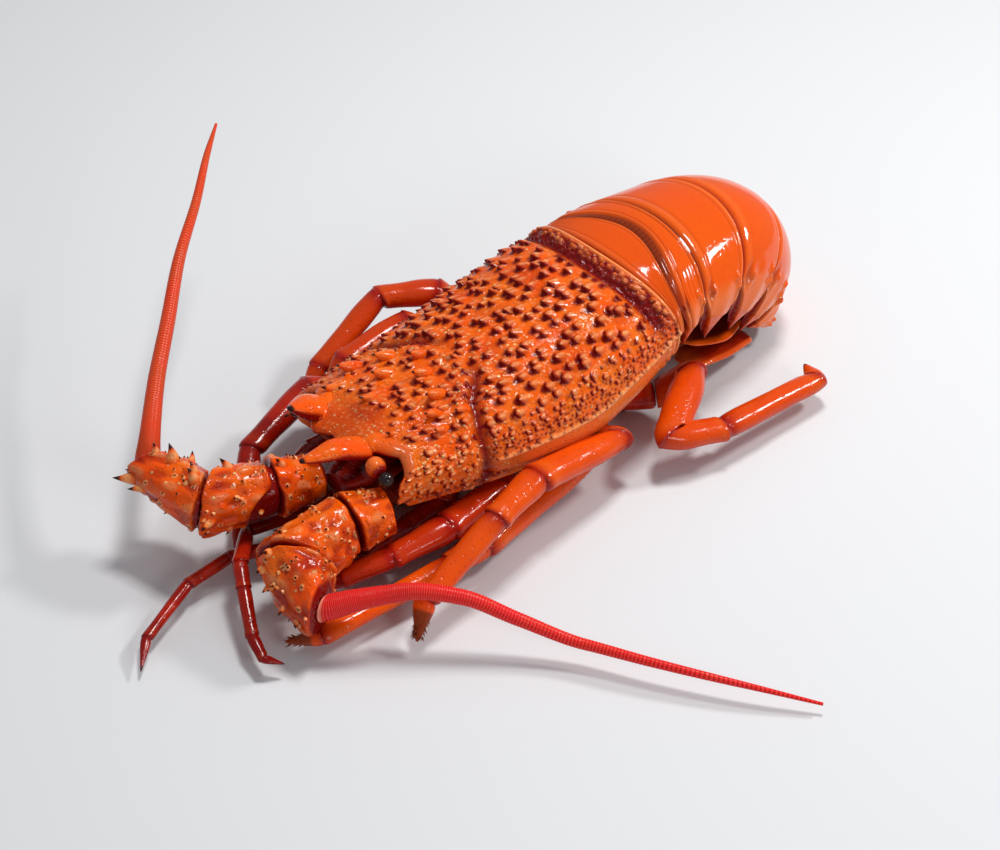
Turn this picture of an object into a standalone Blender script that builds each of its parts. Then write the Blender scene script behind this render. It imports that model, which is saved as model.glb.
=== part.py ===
"""Cooked spiny lobster, whole, lying on its breast with the tail folded under.

The head points along -Y, the animal's left side along +X and its back along +Z. The
origin is on the ground under the middle of the body, and the flat of the breast plate
rests on z = 0. Every length below is in millimetres, and solid() turns it into metres.
"""

import math

import bmesh
import bpy
from mathutils import Vector

MM = 0.001
TOUCH = 0.3  # space between pieces that touch

# The back shell. Each pair is (place along Y, value there).
BACK_TOP = ((-72, 42), (-60, 46.5), (-30, 51.5), (0, 55.5), (25, 59), (45, 62), (64, 62.5))
BACK_HALF_WIDTH = ((-72, 30), (-58, 33.5), (-31, 38.5), (-7, 42), (19, 44.5), (42, 43.5), (68, 41))
BACK_SHIFT = ((-72, 2), (-50, 3), (-20, 4.5), (20, 3), (66, 0))
RIM_HEIGHT = ((-72, 27), (-40, 25), (15, 22.5), (45, 27), (70, 34))
WIDEST_OVER_RIM = 8.0
RIM_TURN = math.radians(108)  # from the top of the back round to the lower rim
SQUARENESS = 2.25
# The front edge, from the midline (0) round to the lower rim (1), with the eye's bay.
FRONT_EDGE = (
    (0, -68), (0.13, -71), (0.24, -66), (0.34, -57), (0.48, -54),
    (0.6, -56), (0.72, -62), (0.84, -64), (1, -60),
)
REAR_EDGE_MIDDLE = 62.0
REAR_EDGE_SWEEP = 6.0
REAR_HALF_WIDTH = 42.0
FRONT_FLOOR = -49.0
LIP = 1.8
SHELL_MIDDLE_HEIGHT = 46.0  # the rear face and the thorns are laid out about this height
REAR_CAP_RINGS = (0.7, 0.3)
BACK_ROWS = 34
BACK_COLUMNS = 38
UNDER_COLUMNS = 4

# Relief of the back shell.
NECK_GROOVE = ((0, -11), (0.14, -14.5), (0.3, -23), (0.55, -28.5), (1, -31))
NECK_GROOVE_DEPTH = 1.6
NECK_GROOVE_WIDTH = 5.0
HIND_GROOVE_AHEAD = 9.0
HIND_GROOVE_DEPTH = 1.8
HIND_GROOVE_WIDTH = 5.0
HIND_GROOVE_END = 0.8
HIND_GROOVE_FADE = 0.15
THORN_RISE = 1.7
THORN_LEAN = 1.7
LOW_THORN_SIZE = 0.55
SMOOTH_HEAD = -46.0  # no thorns ahead of this
SMOOTH_BAND = 0.9  # nor beyond this share of the way to the lower rim
LOW_THORNS = 0.62  # beyond this share they are small

# Great spines of the head: (foot, tip, foot radius).
HORNS = (
    ((18, -53, 44.5), (12.5, -90, 50), 5.4),
    ((-12, -54, 43), (-11.5, -77, 52), 7.4),
)
HEAD_SPINES = (
    ((-16, -46, 44), (-17, -59, 49), 4.2),
    ((-1, -43, 47), (-1, -54, 51.5), 3.6),
    ((12, -37, 47), (11, -46, 51.5), 3.6),
    ((19, -47, 44), (18.5, -57, 49), 3.4),
    ((32, -53, 31), (35, -67, 30), 4.0),
    ((-28, -53, 31), (-31, -67, 30), 4.0),
)
SPINE_SIDES = 7
SMALL_SPINE_SIDES = 5

# The breast: (place along Y, half width of the top, half width of the flat plate).
BREAST = ((-49.2, 20, 8), (-20, 33, 13), (20, 38, 19), (45, 38, 23), (59, 35, 24))
BREAST_UNDER_SHELL = 1.4
BREAST_SIDE_SHARE = 0.55
BREAST_SIDE_HEIGHT = 11.0
BREAST_STEPS = 10
HIP_RADIUS = 6.0
HIP_LENGTH = 8.0
HIP_SIDES = 8

# Tail: for each joint the back's (y, z), the belly's (y, z) and the half width.
TAIL_BACK = ((62.6, 61.5), (79, 64.8), (91, 66.5), (120, 65.5), (147, 54), (158.5, 31), (146, 2))
TAIL_BELLY = ((63, 42), (70.5, 42.5), (80, 42), (98.5, 37), (114, 28), (122, 18), (124, 11))
TAIL_HALF_WIDTH = (40.5, 40.5, 40, 38.5, 36, 33, 30.5)
TAIL_SQUARENESS = (2, 2, 2, 2.05, 2.2, 2.35, 2.6)
TAIL_LEAN = (1, 5, 1, 1, 1, 1, 1)  # how sharply each joint's edge turns forward down the side
SIDE_LOBE = (0.6, 8, 10, 9, 8, 3)
SIDE_LOBE_AT = 0.62
SIDE_LOBE_END = 1.02
SIDE_LOBE_BLUNTNESS = 0.8
SIDE_LOBE_WALL = 4.0
SIDE_LOBE_EDGE = 1.5
LEAST_LOBE = 0.8
TUCK = 1.3  # how far each piece's front slips under the piece ahead
FIRST_JOINT_SWEEP = 0.95  # the first piece follows the shell's rear edge up to this share
# Rings of a tail piece: (share of its length, share of the tuck).
TAIL_RINGS = ((0.0, 1.0), (0.1, 0.4), (0.22, 0), (0.42, 0), (0.62, 0), (0.84, 0), (1.0, 0))
TAIL_ARCH = 16

# Tail fan, folded forward under the tail: root, end and (share, half width) of each leaf.
TELSON = ((0, 121.5, 5), (0, 90, 4.5), ((0, 11), (0.5, 14), (1, 8)))
FAN_INNER = ((17, 121, 12), (20, 80, 24), ((0, 8), (0.5, 15), (0.8, 13), (1, 8)))
FAN_OUTER = ((25, 121.5, 6.5), (27, 84, 13), ((0, 6), (0.5, 8.5), (0.8, 8), (1, 5)))
FAN_THICKNESS = 2.2
FAN_SIDES = 8
FAN_RINGS = (0.0, 0.3, 0.6, 0.85, 1.0)

# Limbs: points from the hip outwards, and the limb's radius at each.
LEG_FLATNESS = 0.78
LEG_SIDES = 8
LEG_NECK = 0.88
LEG_TIP = 0.35
LEG_SWELL = ((0.16, 0.94), (0.84, 1.0))  # (share of the segment, size)
LEG_END_SWELL = ((0.2, 0.95), (0.6, 0.75))
LEGS_LEFT = (
    ((29, -43, 12), (30, -57, 11), (27, -76, 8), (22, -89, 6), (16, -100, 4)),
    ((39, -22, 15), (43, -50, 16), (40, -73, 13.5), (33, -90, 9), (24, -98, 4)),
    ((43, 24, 17), (50.5, 26, 19.5), (53.5, -17, 27), (59.5, -41, 26), (65, -78, 14), (71, -87, 4.5)),
    ((38.5, 31, 6), (51.5, -42, 8.5), (52.5, -57, 8.5), (50, -112, 7.5), (41, -121, 4)),
    ((33, 65, 10), (42, 74.5, 20), (60.5, 45, 16), (67, 67, 13), (68, 119, 10), (59, 122, 11)),
)
LEGS_RIGHT = (
    ((-28, -43, 12), (-27, -57, 11), (-22, -76, 8), (-18, -88, 6), (-16, -98, 4)),
    ((-37, -18, 13), (-48, -44, 21), (-37, -79, 17), (-12, -101, 8), (-5, -109, 4)),
    ((-42, 20, 16), (-53, 8, 24), (-53, -22, 20), (-51, -29, 12), (-50, -31, 6)),
    ((-41, 40, 10), (-57, 28, 28), (-69, 8, 28), (-63, -28, 14), (-58, -36, 8), (-55, -39, 4)),
    ((-33, 65, 10), (-44, 76, 17), (-62, 90, 15), (-61, 112, 11), (-50, 142, 7), (-46, 149, 5)),
)
LEG_RADII = (
    (5.0, 5.6, 4.4, 4.2, 2.0),
    (6.0, 6.4, 4.8, 4.4, 2.2),
    (6.0, 6.6, 6.5, 5.2, 4.6, 2.2),
    (6.0, 6.9, 4.8, 3.8, 2.0),
    (7.2, 7.6, 5.8, 5.4, 2.2),
)
HIP_PLACES = ((23, -34, 12), (29, -12, 12), (31, 22, 16.5), (28, 35, 9), (27, 57, 9))

# Feelers: where the three base joints start and end, and each joint's radius at its two ends.
FEELER_LEFT = ((30, -65.5, 25), (25.5, -80.5, 24.5), (27, -107, 22), (48.5, -110, 18.5))
FEELER_LEFT_RADII = ((9.5, 11.0), (11.0, 12.5), (13.5, 9.5))
FEELER_RIGHT = ((0, -73.5, 26), (-3.5, -92, 28), (-12, -115.5, 29), (-38, -121.5, 34))
FEELER_RIGHT_RADII = ((8.5, 10.5), (10.5, 11.5), (11.5, 8.0))
FEELER_SIDES = 10
FEELER_SWELL = ((0, 0.8), (0.2, 0.97), (0.5, 1.0), (0.85, 1.02), (1, 0.84))
# Spines of each feeler joint: (turn about it in degrees, share of its length, length).
FEELER_SPINES = (
    ((90, 0.7, 7), (45, 0.75, 6), (140, 0.7, 6), (0, 0.7, 5)),
    ((95, 0.75, 8), (50, 0.8, 7), (140, 0.75, 8), (5, 0.75, 6), (185, 0.8, 6), (70, 0.35, 5)),
    ((90, 0.35, 8), (115, 0.65, 7), (45, 0.5, 6), (0, 0.2, 9), (-25, 0.4, 8), (180, 0.5, 6)),
)
FEELER_SPINE_RADIUS = 2.3
FEELER_SPINE_FOOT = 0.75
FEELER_SPINE_RISE = 0.6
FEELER_SPINE_LEAN = 0.5
WHIP_LEFT = (
    (50, -109, 18.5), (55, -100, 21), (60, -92, 22), (68, -83, 24), (79, -72, 22),
    (94, -60, 14.8), (113, -47, 8.8), (134, -35, 8.2), (159, -19, 6.8), (182, -2, 3.5),
)
WHIP_RIGHT = (
    (-40, -121, 34.5), (-47, -114, 38), (-66, -98, 43), (-87, -78, 49), (-108, -58, 56), (-130, -34, 62),
    (-148, -16, 67), (-161, -2, 70),
)
FEELERLET_LEFT = ((9, -78, 12.5), (7, -98, 11), (-2, -114, 9), (-2, -132, 7), (9, -157, 5), (19, -166, 3))
FEELERLET_RIGHT = (
    (1, -76, 12.5), (-5.6, -103, 13), (10, -117, 16.5), (19, -122, 14),
    (36, -131, 9), (45, -133, 7), (50, -128, 5),
)
FEELERLET_RADII = (3.0, 3.0, 2.8, 2.5, 2.1, 0.9)

# The face: (place along Y, half width, low, high), about a middle a little to the left.
FACE = ((-50, 15, 29, 38), (-57, 16, 29, 36), (-61, 16, 28.5, 34), (-65, 12, 14, 32), (-72.5, 8, 13, 30))
FACE_MIDDLE = 8.0
FACE_SIDES = 12
# Eyes: foot of the stalk, its knob, and the middle of the eye's ball.
EYES = {
    "left": ((19, -61, 37), (23, -65.5, 40.5), (29.5, -66, 39)),
    "right": ((-12, -61, 33.5), (-18, -64.5, 38), (-24.5, -65, 37)),
}
EYE_RADIUS = 3.3
STALK_RADIUS = 3.2
STALK_FOOT = 0.7
STALK_END = 0.6
BALL_RINGS = 7
BALL_SIDES = 10
# Mouth legs, and the whips' thickness.
MOUTH_LEG = ((7, -51, 8), (9, -62, 9), (8, -74, 7), (6, -84, 4))
MOUTH_LEG_RADII = (3.6, 3.8, 3.2, 1.6)
WHIP_RADII = ((0, 5.4), (0.14, 4.4), (0.3, 3.5), (0.5, 3.0), (0.66, 2.2), (0.84, 1.5), (1, 0.6))
WHIP_RINGS = 25
WHIP_SIDES = 7


def smooth(knots, at):
    """Value at a place, on a smooth curve through (place, value) knots that never overshoots."""
    places = [knot[0] for knot in knots]
    values = [knot[1] for knot in knots]
    last = len(places) - 1
    at = min(max(at, places[0]), places[last])
    rises = [(values[i + 1] - values[i]) / (places[i + 1] - places[i]) for i in range(last)]
    slopes = [rises[0]]
    for before, after in zip(rises, rises[1:]):
        slopes.append(2 * before * after / (before + after) if before * after > 0 else 0.0)
    slopes.append(rises[-1])
    i = 0
    while i < last - 1 and at > places[i + 1]:
        i += 1
    span = places[i + 1] - places[i]
    t = (at - places[i]) / span
    return (
        (2 * t**3 - 3 * t**2 + 1) * values[i]
        + (t**3 - 2 * t**2 + t) * span * slopes[i]
        + (3 * t**2 - 2 * t**3) * values[i + 1]
        + (t**3 - t**2) * span * slopes[i + 1]
    )


def along(points, at):
    """Point at a share (0 to 1) of a smooth route through the points."""
    places = [i / (len(points) - 1) for i in range(len(points))]
    return Vector([smooth(tuple(zip(places, [p[axis] for p in points])), at) for axis in range(3)])


def finish(name, colour, roughness):
    material = bpy.data.materials.get(name)
    if material is None:
        material = bpy.data.materials.new(name)
        material.use_nodes = True
        shader = material.node_tree.nodes["Principled BSDF"]
        shader.inputs["Base Color"].default_value = (*colour, 1.0)
        shader.inputs["Roughness"].default_value = roughness
        shader.inputs["Metallic"].default_value = 0.0
    return material


def shell_orange():
    return finish("shell_orange", (0.78, 0.16, 0.02), 0.28)


def tail_orange():
    return finish("tail_orange", (0.80, 0.14, 0.02), 0.2)


def leg_red():
    return finish("leg_red", (0.55, 0.05, 0.01), 0.25)


def membrane_red():
    return finish("membrane_red", (0.25, 0.01, 0.005), 0.35)


def whip_crimson():
    return finish("whip_crimson", (0.62, 0.03, 0.03), 0.3)


def eye_black():
    return finish("eye_black", (0.01, 0.008, 0.008), 0.06)


def solid(name, points, faces, material):
    """One closed solid from points in millimetres, with its faces turned outwards."""
    mesh = bpy.data.meshes.new(name)
    mesh.from_pydata([tuple(Vector(p) * MM) for p in points], [], faces)
    shape = bmesh.new()
    shape.from_mesh(mesh)
    bmesh.ops.recalc_face_normals(shape, faces=shape.faces)
    bmesh.ops.triangulate(shape, faces=shape.faces)
    shape.to_mesh(mesh)
    shape.free()
    mesh.materials.append(material)
    mesh.shade_smooth()
    mesh.set_sharp_from_angle(angle=math.radians(40))
    piece = bpy.data.objects.new(name, mesh)
    bpy.context.scene.collection.objects.link(piece)
    return piece


def loft(name, rings, material, tip=None):
    """Closed solid through rings of equal point counts, closed by a fan at each end, or by a tip."""
    around = len(rings[0])
    points = [p for ring in rings for p in ring]
    faces = []
    for i in range(len(rings) - 1):
        for j in range(around):
            k = (j + 1) % around
            faces.append((i * around + j, i * around + k, (i + 1) * around + k, (i + 1) * around + j))
    middles = [sum((Vector(p) for p in ring), Vector()) / around for ring in (rings[0], rings[-1])]
    for first, end in ((0, middles[0]), ((len(rings) - 1) * around, tip or middles[1])):
        points.append(end)
        faces += [(first + j, first + (j + 1) % around, len(points) - 1) for j in range(around)]
    return solid(name, points, faces, material)


def cross_axes(direction):
    """Two directions across a limb: one level, one as near upright as it can be."""
    level = direction.cross(Vector((0, 0, 1)))
    if level.length < 0.05:
        level = Vector((1, 0, 0))
    level.normalize()
    return level, level.cross(direction).normalized()


def ring_round(centre, direction, radius, sides, flatness=1.0):
    level, upright = cross_axes(Vector(direction).normalized())
    turns = [math.tau * j / sides for j in range(sides)]
    return [centre + level * radius * math.cos(t) + upright * radius * flatness * math.sin(t) for t in turns]


def tube(name, points, radii, first, material):
    """Whip along a smooth route, thinning as the (share, radius) knots say; its foot faces `first`."""
    step = 0.5 / WHIP_RINGS
    loops = []
    for i in range(WHIP_RINGS):
        share = i / (WHIP_RINGS - 1)
        ahead = along(points, min(share + step, 1)) - along(points, max(share - step, 0)) if i else first
        loops.append(ring_round(along(points, share), ahead, smooth(radii, share), WHIP_SIDES))
    return loft(name, loops, material)


def spine(name, foot, tip, radius, sides, material):
    """Pointed spine; one with many sides is hollowed a little on its way to the tip."""
    foot, tip = Vector(foot), Vector(tip)
    ends = [(foot, radius)]
    if sides >= SPINE_SIDES:
        ends.append((foot.lerp(tip, 0.6), radius * 0.5))
    return loft(name, [ring_round(p, tip - foot, r, sides) for p, r in ends], material, tip)


def fuse(piece, others):
    """Joins other solids to a piece by one Boolean union, and removes them."""
    group = bpy.data.collections.new(piece.name + "_parts")
    bpy.context.scene.collection.children.link(group)
    for other in others:
        group.objects.link(other)
    union = piece.modifiers.new("fuse", "BOOLEAN")
    union.operation = "UNION"
    union.operand_type = "COLLECTION"
    union.collection = group
    with bpy.context.temp_override(object=piece, active_object=piece):
        bpy.ops.object.modifier_apply(modifier=union.name)
    for other in others:
        bpy.data.objects.remove(other, do_unlink=True)
    bpy.data.collections.remove(group)
    return piece


def rounded(value, squareness=SQUARENESS):
    return math.copysign(abs(value) ** (2 / squareness), value)


def shell_point(y, across, inset=0.0):
    """Point of the back shell; across runs from -1 at the right rim to 1 at the left."""
    turn = across * RIM_TURN
    widest = smooth(RIM_HEIGHT, y) + WIDEST_OVER_RIM
    upright = rounded(math.cos(turn))
    if upright >= 0:
        z = widest + (smooth(BACK_TOP, y) - inset - widest) * upright
    else:
        z = widest + (WIDEST_OVER_RIM - inset) * upright / abs(rounded(math.cos(RIM_TURN)))
    x = smooth(BACK_SHIFT, y) + (smooth(BACK_HALF_WIDTH, y) - inset) * rounded(math.sin(turn))
    return Vector((x, y, z))


def rear_edge(x):
    return REAR_EDGE_MIDDLE + REAR_EDGE_SWEEP * (x / REAR_HALF_WIDTH) ** 2


def shell_place(share, across):
    """Place along Y of a point, share running from the front edge (0) to the rear edge (1)."""
    front = smooth(FRONT_EDGE, abs(across))
    rear = rear_edge(shell_point(REAR_EDGE_MIDDLE, across).x)
    return front + (rear - front) * share


def groove(distance, depth, width):
    return -depth * math.exp(-((2 * distance / width) ** 2))


def relief(y, across):
    """Height of the two cross grooves at a point of the back shell."""
    neck = groove(y - smooth(NECK_GROOVE, abs(across)), NECK_GROOVE_DEPTH, NECK_GROOVE_WIDTH)
    hind_place = shell_place(1, across) - HIND_GROOVE_AHEAD
    fade = max(0.0, min(1.0, (HIND_GROOVE_END - abs(across)) / HIND_GROOVE_FADE))
    return neck + fade * groove(y - hind_place, HIND_GROOVE_DEPTH, HIND_GROOVE_WIDTH)


def shell_surface(share, across):
    y = shell_place(share, across)
    return shell_point(y, across, -relief(y, across))


def shell_ring(share):
    """Closed ring of the back shell: over the back, then level along the underside."""
    ring = [shell_surface(share, 2 * j / BACK_COLUMNS - 1) for j in range(BACK_COLUMNS + 1)]
    left, right = ring[-1], ring[0]
    under = [left.lerp(right, k / UNDER_COLUMNS) for k in range(1, UNDER_COLUMNS)]
    for p in under:
        p.y += share**4 * (rear_edge(p.x) - rear_edge(left.x))
    return ring + under


def floor_ring():
    """Ring at the foot of the recess behind the front edge."""
    ring = [shell_point(FRONT_FLOOR, 2 * j / BACK_COLUMNS - 1, LIP) for j in range(BACK_COLUMNS + 1)]
    left, right = ring[-1], ring[0]
    return ring + [left.lerp(right, k / UNDER_COLUMNS) for k in range(1, UNDER_COLUMNS)]


def inner_edge_ring():
    ring = []
    for j in range(BACK_COLUMNS + 1):
        across = 2 * j / BACK_COLUMNS - 1
        ring.append(shell_point(shell_place(0, across) + LIP / 2, across, LIP))
    left, right = ring[-1], ring[0]
    return ring + [left.lerp(right, k / UNDER_COLUMNS) for k in range(1, UNDER_COLUMNS)]


def rear_cap_ring(ring, share):
    """The rear ring drawn in towards the middle, on the swept rear face."""
    middle = Vector((0, 0, SHELL_MIDDLE_HEIGHT))
    drawn = [middle.lerp(p, share) for p in ring]
    return [Vector((p.x, rear_edge(p.x), p.z)) for p in drawn]


def thorn_here(row, column):
    across = (2 * column + 1) / BACK_COLUMNS - 1
    share = (row + 0.5) / BACK_ROWS
    y = shell_place(share, across)
    if y < SMOOTH_HEAD or abs(across) > SMOOTH_BAND or row >= BACK_ROWS - 1:
        return 0.0
    if (row + column) % 2:
        return 0.0
    return LOW_THORN_SIZE if abs(across) > LOW_THORNS else 1.0


def thorn(corners, size):
    """Tip of the thorn that rises from a patch of the back shell, leaning forward."""
    centre = sum(corners, Vector()) / len(corners)
    outward = (corners[2] - corners[0]).cross(corners[3] - corners[1]).normalized()
    if outward.dot(centre - Vector((0, centre.y, SHELL_MIDDLE_HEIGHT))) < 0:
        outward.negate()
    return centre + outward * THORN_RISE * size - Vector((0, THORN_LEAN * size, 0))


def carapace():
    """The back shell: a closed skin of rings with thorns, then its great spines fused on."""
    rings = [floor_ring(), inner_edge_ring()]
    first_outer = len(rings)
    rings += [shell_ring(i / BACK_ROWS) for i in range(BACK_ROWS + 1)]
    rings += [rear_cap_ring(rings[-1], share) for share in REAR_CAP_RINGS]
    around = len(rings[0])
    points = [p for ring in rings for p in ring]
    faces = []
    for i in range(len(rings) - 1):
        for j in range(around):
            k = (j + 1) % around
            quad = (i * around + j, i * around + k, (i + 1) * around + k, (i + 1) * around + j)
            row = i - first_outer
            size = thorn_here(row, j) if 0 <= row < BACK_ROWS and j < BACK_COLUMNS else 0.0
            if size == 0.0:
                faces.append(quad)
                continue
            points.append(thorn([points[n] for n in quad], size))
            faces += [(quad[n], quad[(n + 1) % 4], len(points) - 1) for n in range(4)]
    for first, ring in ((0, rings[0]), ((len(rings) - 1) * around, rings[-1])):
        points.append(sum(ring, Vector()) / around)
        faces += [(first + j, first + (j + 1) % around, len(points) - 1) for j in range(around)]
    shell = solid("carapace", points, faces, shell_orange())
    spikes = [
        spine(f"spine_{n}", *place, SPINE_SIDES, shell_orange()) for n, place in enumerate(HORNS + HEAD_SPINES)
    ]
    return fuse(shell, spikes)


def breast_ring(y):
    top = smooth([(row[0], row[1]) for row in BREAST], y)
    flat = smooth([(row[0], row[2]) for row in BREAST], y)
    high = smooth(RIM_HEIGHT, y) - BREAST_UNDER_SHELL
    side = (flat + (top - flat) * BREAST_SIDE_SHARE, BREAST_SIDE_HEIGHT)
    left = [(top, high), side, (flat, 0)]
    outline = left + [(-x, z) for x, z in reversed(left)]
    return [Vector((x, y, z)) for x, z in outline]


def hip_direction(sign, n, points):
    place = HIP_PLACES[n]
    return (Vector(points[0]) - Vector((place[0] * sign, place[1], place[2]))).normalized()


def breast():
    """Breast plate with the ten stubs that carry the legs."""
    start, end = BREAST[0][0], BREAST[-1][0]
    rings = [breast_ring(start + (end - start) * i / BREAST_STEPS) for i in range(BREAST_STEPS + 1)]
    body = loft("breast", rings, leg_red())
    hips = []
    for sign, places in ((1, LEGS_LEFT), (-1, LEGS_RIGHT)):
        for n, points in enumerate(places):
            out = hip_direction(sign, n, points)
            foot = Vector((HIP_PLACES[n][0] * sign, HIP_PLACES[n][1], HIP_PLACES[n][2]))
            ends = ((foot - out * HIP_LENGTH, 0.8), (Vector(points[0]) - out * 2 * TOUCH, 1.0))
            rings = [ring_round(p, out, HIP_RADIUS * size, HIP_SIDES, LEG_FLATNESS) for p, size in ends]
            hips.append(loft(f"hip_{n}", rings, leg_red()))
    return fuse(body, hips)


def limb(name, points, radii, material, first=None):
    """Jointed leg: each segment swells towards its far end, with a narrow neck at the joint.

    The first ring faces along `first`, so that it lies flat against what carries the leg.
    """
    points = [Vector(p) for p in points]
    last = len(points) - 1
    sizes = [smooth(tuple(enumerate(radii)), i * (len(radii) - 1) / last) for i in range(last + 1)]
    aheads = [(there - here).normalized() for here, there in zip(points, points[1:])]
    turn = first or aheads[0]
    rings = [ring_round(points[0], turn, sizes[0] * LEG_NECK, LEG_SIDES, LEG_FLATNESS)]
    for i, (here, there) in enumerate(zip(points, points[1:])):
        for share, size in LEG_SWELL if i < last - 1 else LEG_END_SWELL:
            radius = (sizes[i] + (sizes[i + 1] - sizes[i]) * share) * size
            leaning = turn.lerp(aheads[i], min(1.0, 2 * share))
            rings.append(ring_round(here.lerp(there, share), leaning, radius, LEG_SIDES, LEG_FLATNESS))
        turn = (aheads[i] + aheads[min(i + 1, last - 1)]).normalized()
        radius = sizes[i + 1] * (LEG_NECK if i < last - 1 else LEG_TIP)
        rings.append(ring_round(there, turn, radius, LEG_SIDES, LEG_FLATNESS))
    return loft(name, rings, material)


def legs():
    for side, sign, places in (("left", 1, LEGS_LEFT), ("right", -1, LEGS_RIGHT)):
        for n, points in enumerate(places):
            limb(f"leg_{side}_{n + 1}", points, LEG_RADII[n], leg_red(), hip_direction(sign, n, points))


def tail_value(table, at):
    return smooth(tuple(enumerate(table)), at)


def tail_ends(joint):
    """The back's and the belly's point of the tail at a joint number."""
    back = [tail_value([p[axis] for p in TAIL_BACK], joint) for axis in range(2)]
    belly = [tail_value([p[axis] for p in TAIL_BELLY], joint) for axis in range(2)]
    return Vector((0, *back)), Vector((0, *belly))


def tail_section(joint, grown, lobe):
    """Ring of the tail at a joint number: over the back, round the side lobes, under the belly."""
    back, belly = tail_ends(joint)
    up = (back - belly).normalized()
    high = (back - belly).length + grown
    wide = tail_value(TAIL_HALF_WIDTH, joint) + grown
    squareness = tail_value(TAIL_SQUARENESS, joint)
    lean = tail_value(TAIL_LEAN, joint)
    ring = []
    for j in range(TAIL_ARCH + 1):
        turn = math.pi * (j / TAIL_ARCH - 0.5)
        out, rise = rounded(math.sin(turn), squareness), rounded(max(0.0, math.cos(turn)), squareness)
        forward = (back.y - belly.y) * (rise**lean - rise)
        ring.append(belly + Vector((wide * out, forward, 0)) + up * high * rise)
    left_tip = belly + Vector((wide - SIDE_LOBE_EDGE, 0, 0)) - up * (lobe + LEAST_LOBE)
    right_tip = belly + Vector((SIDE_LOBE_EDGE - wide, 0, 0)) - up * (lobe + LEAST_LOBE)
    inner = wide - SIDE_LOBE_WALL
    under = [belly + Vector((inner * x, 0, 0)) for x in (1, 0, -1)]
    return ring + [left_tip] + under + [right_tip]


def tail_axis(joint):
    """Direction in which the tail runs at a joint number, square to its section."""
    back, belly = tail_ends(joint)
    return (back - belly).cross(Vector((1, 0, 0))).normalized()


def tail_piece(n):
    rings = []
    for share, tucked in TAIL_RINGS:
        reach = max(0.0, 1 - abs(share - SIDE_LOBE_AT) / (SIDE_LOBE_END - SIDE_LOBE_AT)) ** SIDE_LOBE_BLUNTNESS
        ring = tail_section(n + share, -TUCK * tucked, SIDE_LOBE[n] * reach)
        if share == 1.0:
            ring = [p - tail_axis(n + 1) * TOUCH * 1.3 for p in ring]
        if n == 0:
            fade = max(0.0, 1 - share / FIRST_JOINT_SWEEP)
            ring = [p + Vector((0, fade * (rear_edge(p.x) - REAR_EDGE_MIDDLE), 0)) for p in ring]
        rings.append(ring)
    return loft(f"tail_{n + 1}", rings, tail_orange())


def blade(name, start, end, widths, thick, material):
    """Flat leaf of the tail fan, from its root to its rounded end."""
    start, end = Vector(start), Vector(end)
    ahead = (end - start).normalized()
    side = ahead.cross(Vector((0, 0, 1))).normalized()
    up = side.cross(ahead)
    rings = []
    turns = [math.tau * j / FAN_SIDES for j in range(FAN_SIDES)]
    for share in FAN_RINGS:
        wide = smooth(widths, share)
        centre = start.lerp(end, share)
        rings.append([centre + side * wide * math.cos(t) + up * thick * math.sin(t) for t in turns])
    return loft(name, rings, material)


def fan():
    blade("telson", TELSON[0], TELSON[1], TELSON[2], FAN_THICKNESS, tail_orange())
    for side, sign in (("left", 1), ("right", -1)):
        for name, (root, end, widths) in (("inner", FAN_INNER), ("outer", FAN_OUTER)):
            root, end = ((p[0] * sign, p[1], p[2]) for p in (root, end))
            blade(f"fan_{name}_{side}", root, end, widths, FAN_THICKNESS, tail_orange())


def face():
    """Face between the eyes and the feelers, reaching back into the recess of the shell."""
    rings = []
    for y, wide, low, high in FACE:
        centre = Vector((FACE_MIDDLE, y, (low + high) / 2))
        turns = [math.tau * j / FACE_SIDES for j in range(FACE_SIDES)]
        rings.append([
            centre + Vector((wide * math.cos(t), 0, (high - low) / 2 * math.sin(t))) for t in turns
        ])
    loft("face", rings, membrane_red())


def ball(name, centre, radius, material):
    """Round solid of stacked rings, each drawn in as a circle of latitude."""
    rings = []
    for k in range(1, BALL_RINGS):
        turn = math.pi * k / BALL_RINGS
        middle = Vector(centre) + Vector((0, 0, radius * math.cos(turn)))
        rings.append(ring_round(middle, (0, 0, 1), radius * math.sin(turn), BALL_SIDES))
    return loft(name, rings, material)


def eyes():
    for side, (foot, knob, ball_centre) in EYES.items():
        foot, knob, ball_centre = Vector(foot), Vector(knob), Vector(ball_centre)
        ahead = (ball_centre - knob).normalized()
        end = ball_centre - ahead * (EYE_RADIUS + TOUCH)
        first = (knob - foot).normalized()
        rings = [
            ring_round(foot, first, STALK_RADIUS * STALK_FOOT, BALL_SIDES),
            ring_round(foot.lerp(knob, 0.6), first, STALK_RADIUS, BALL_SIDES),
            ring_round(knob, (first + ahead).normalized(), STALK_RADIUS, BALL_SIDES),
            ring_round(end, ahead, STALK_RADIUS * STALK_END, BALL_SIDES),
        ]
        loft(f"eyestalk_{side}", rings, shell_orange())
        ball(f"eye_{side}", ball_centre, EYE_RADIUS, eye_black())


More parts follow.
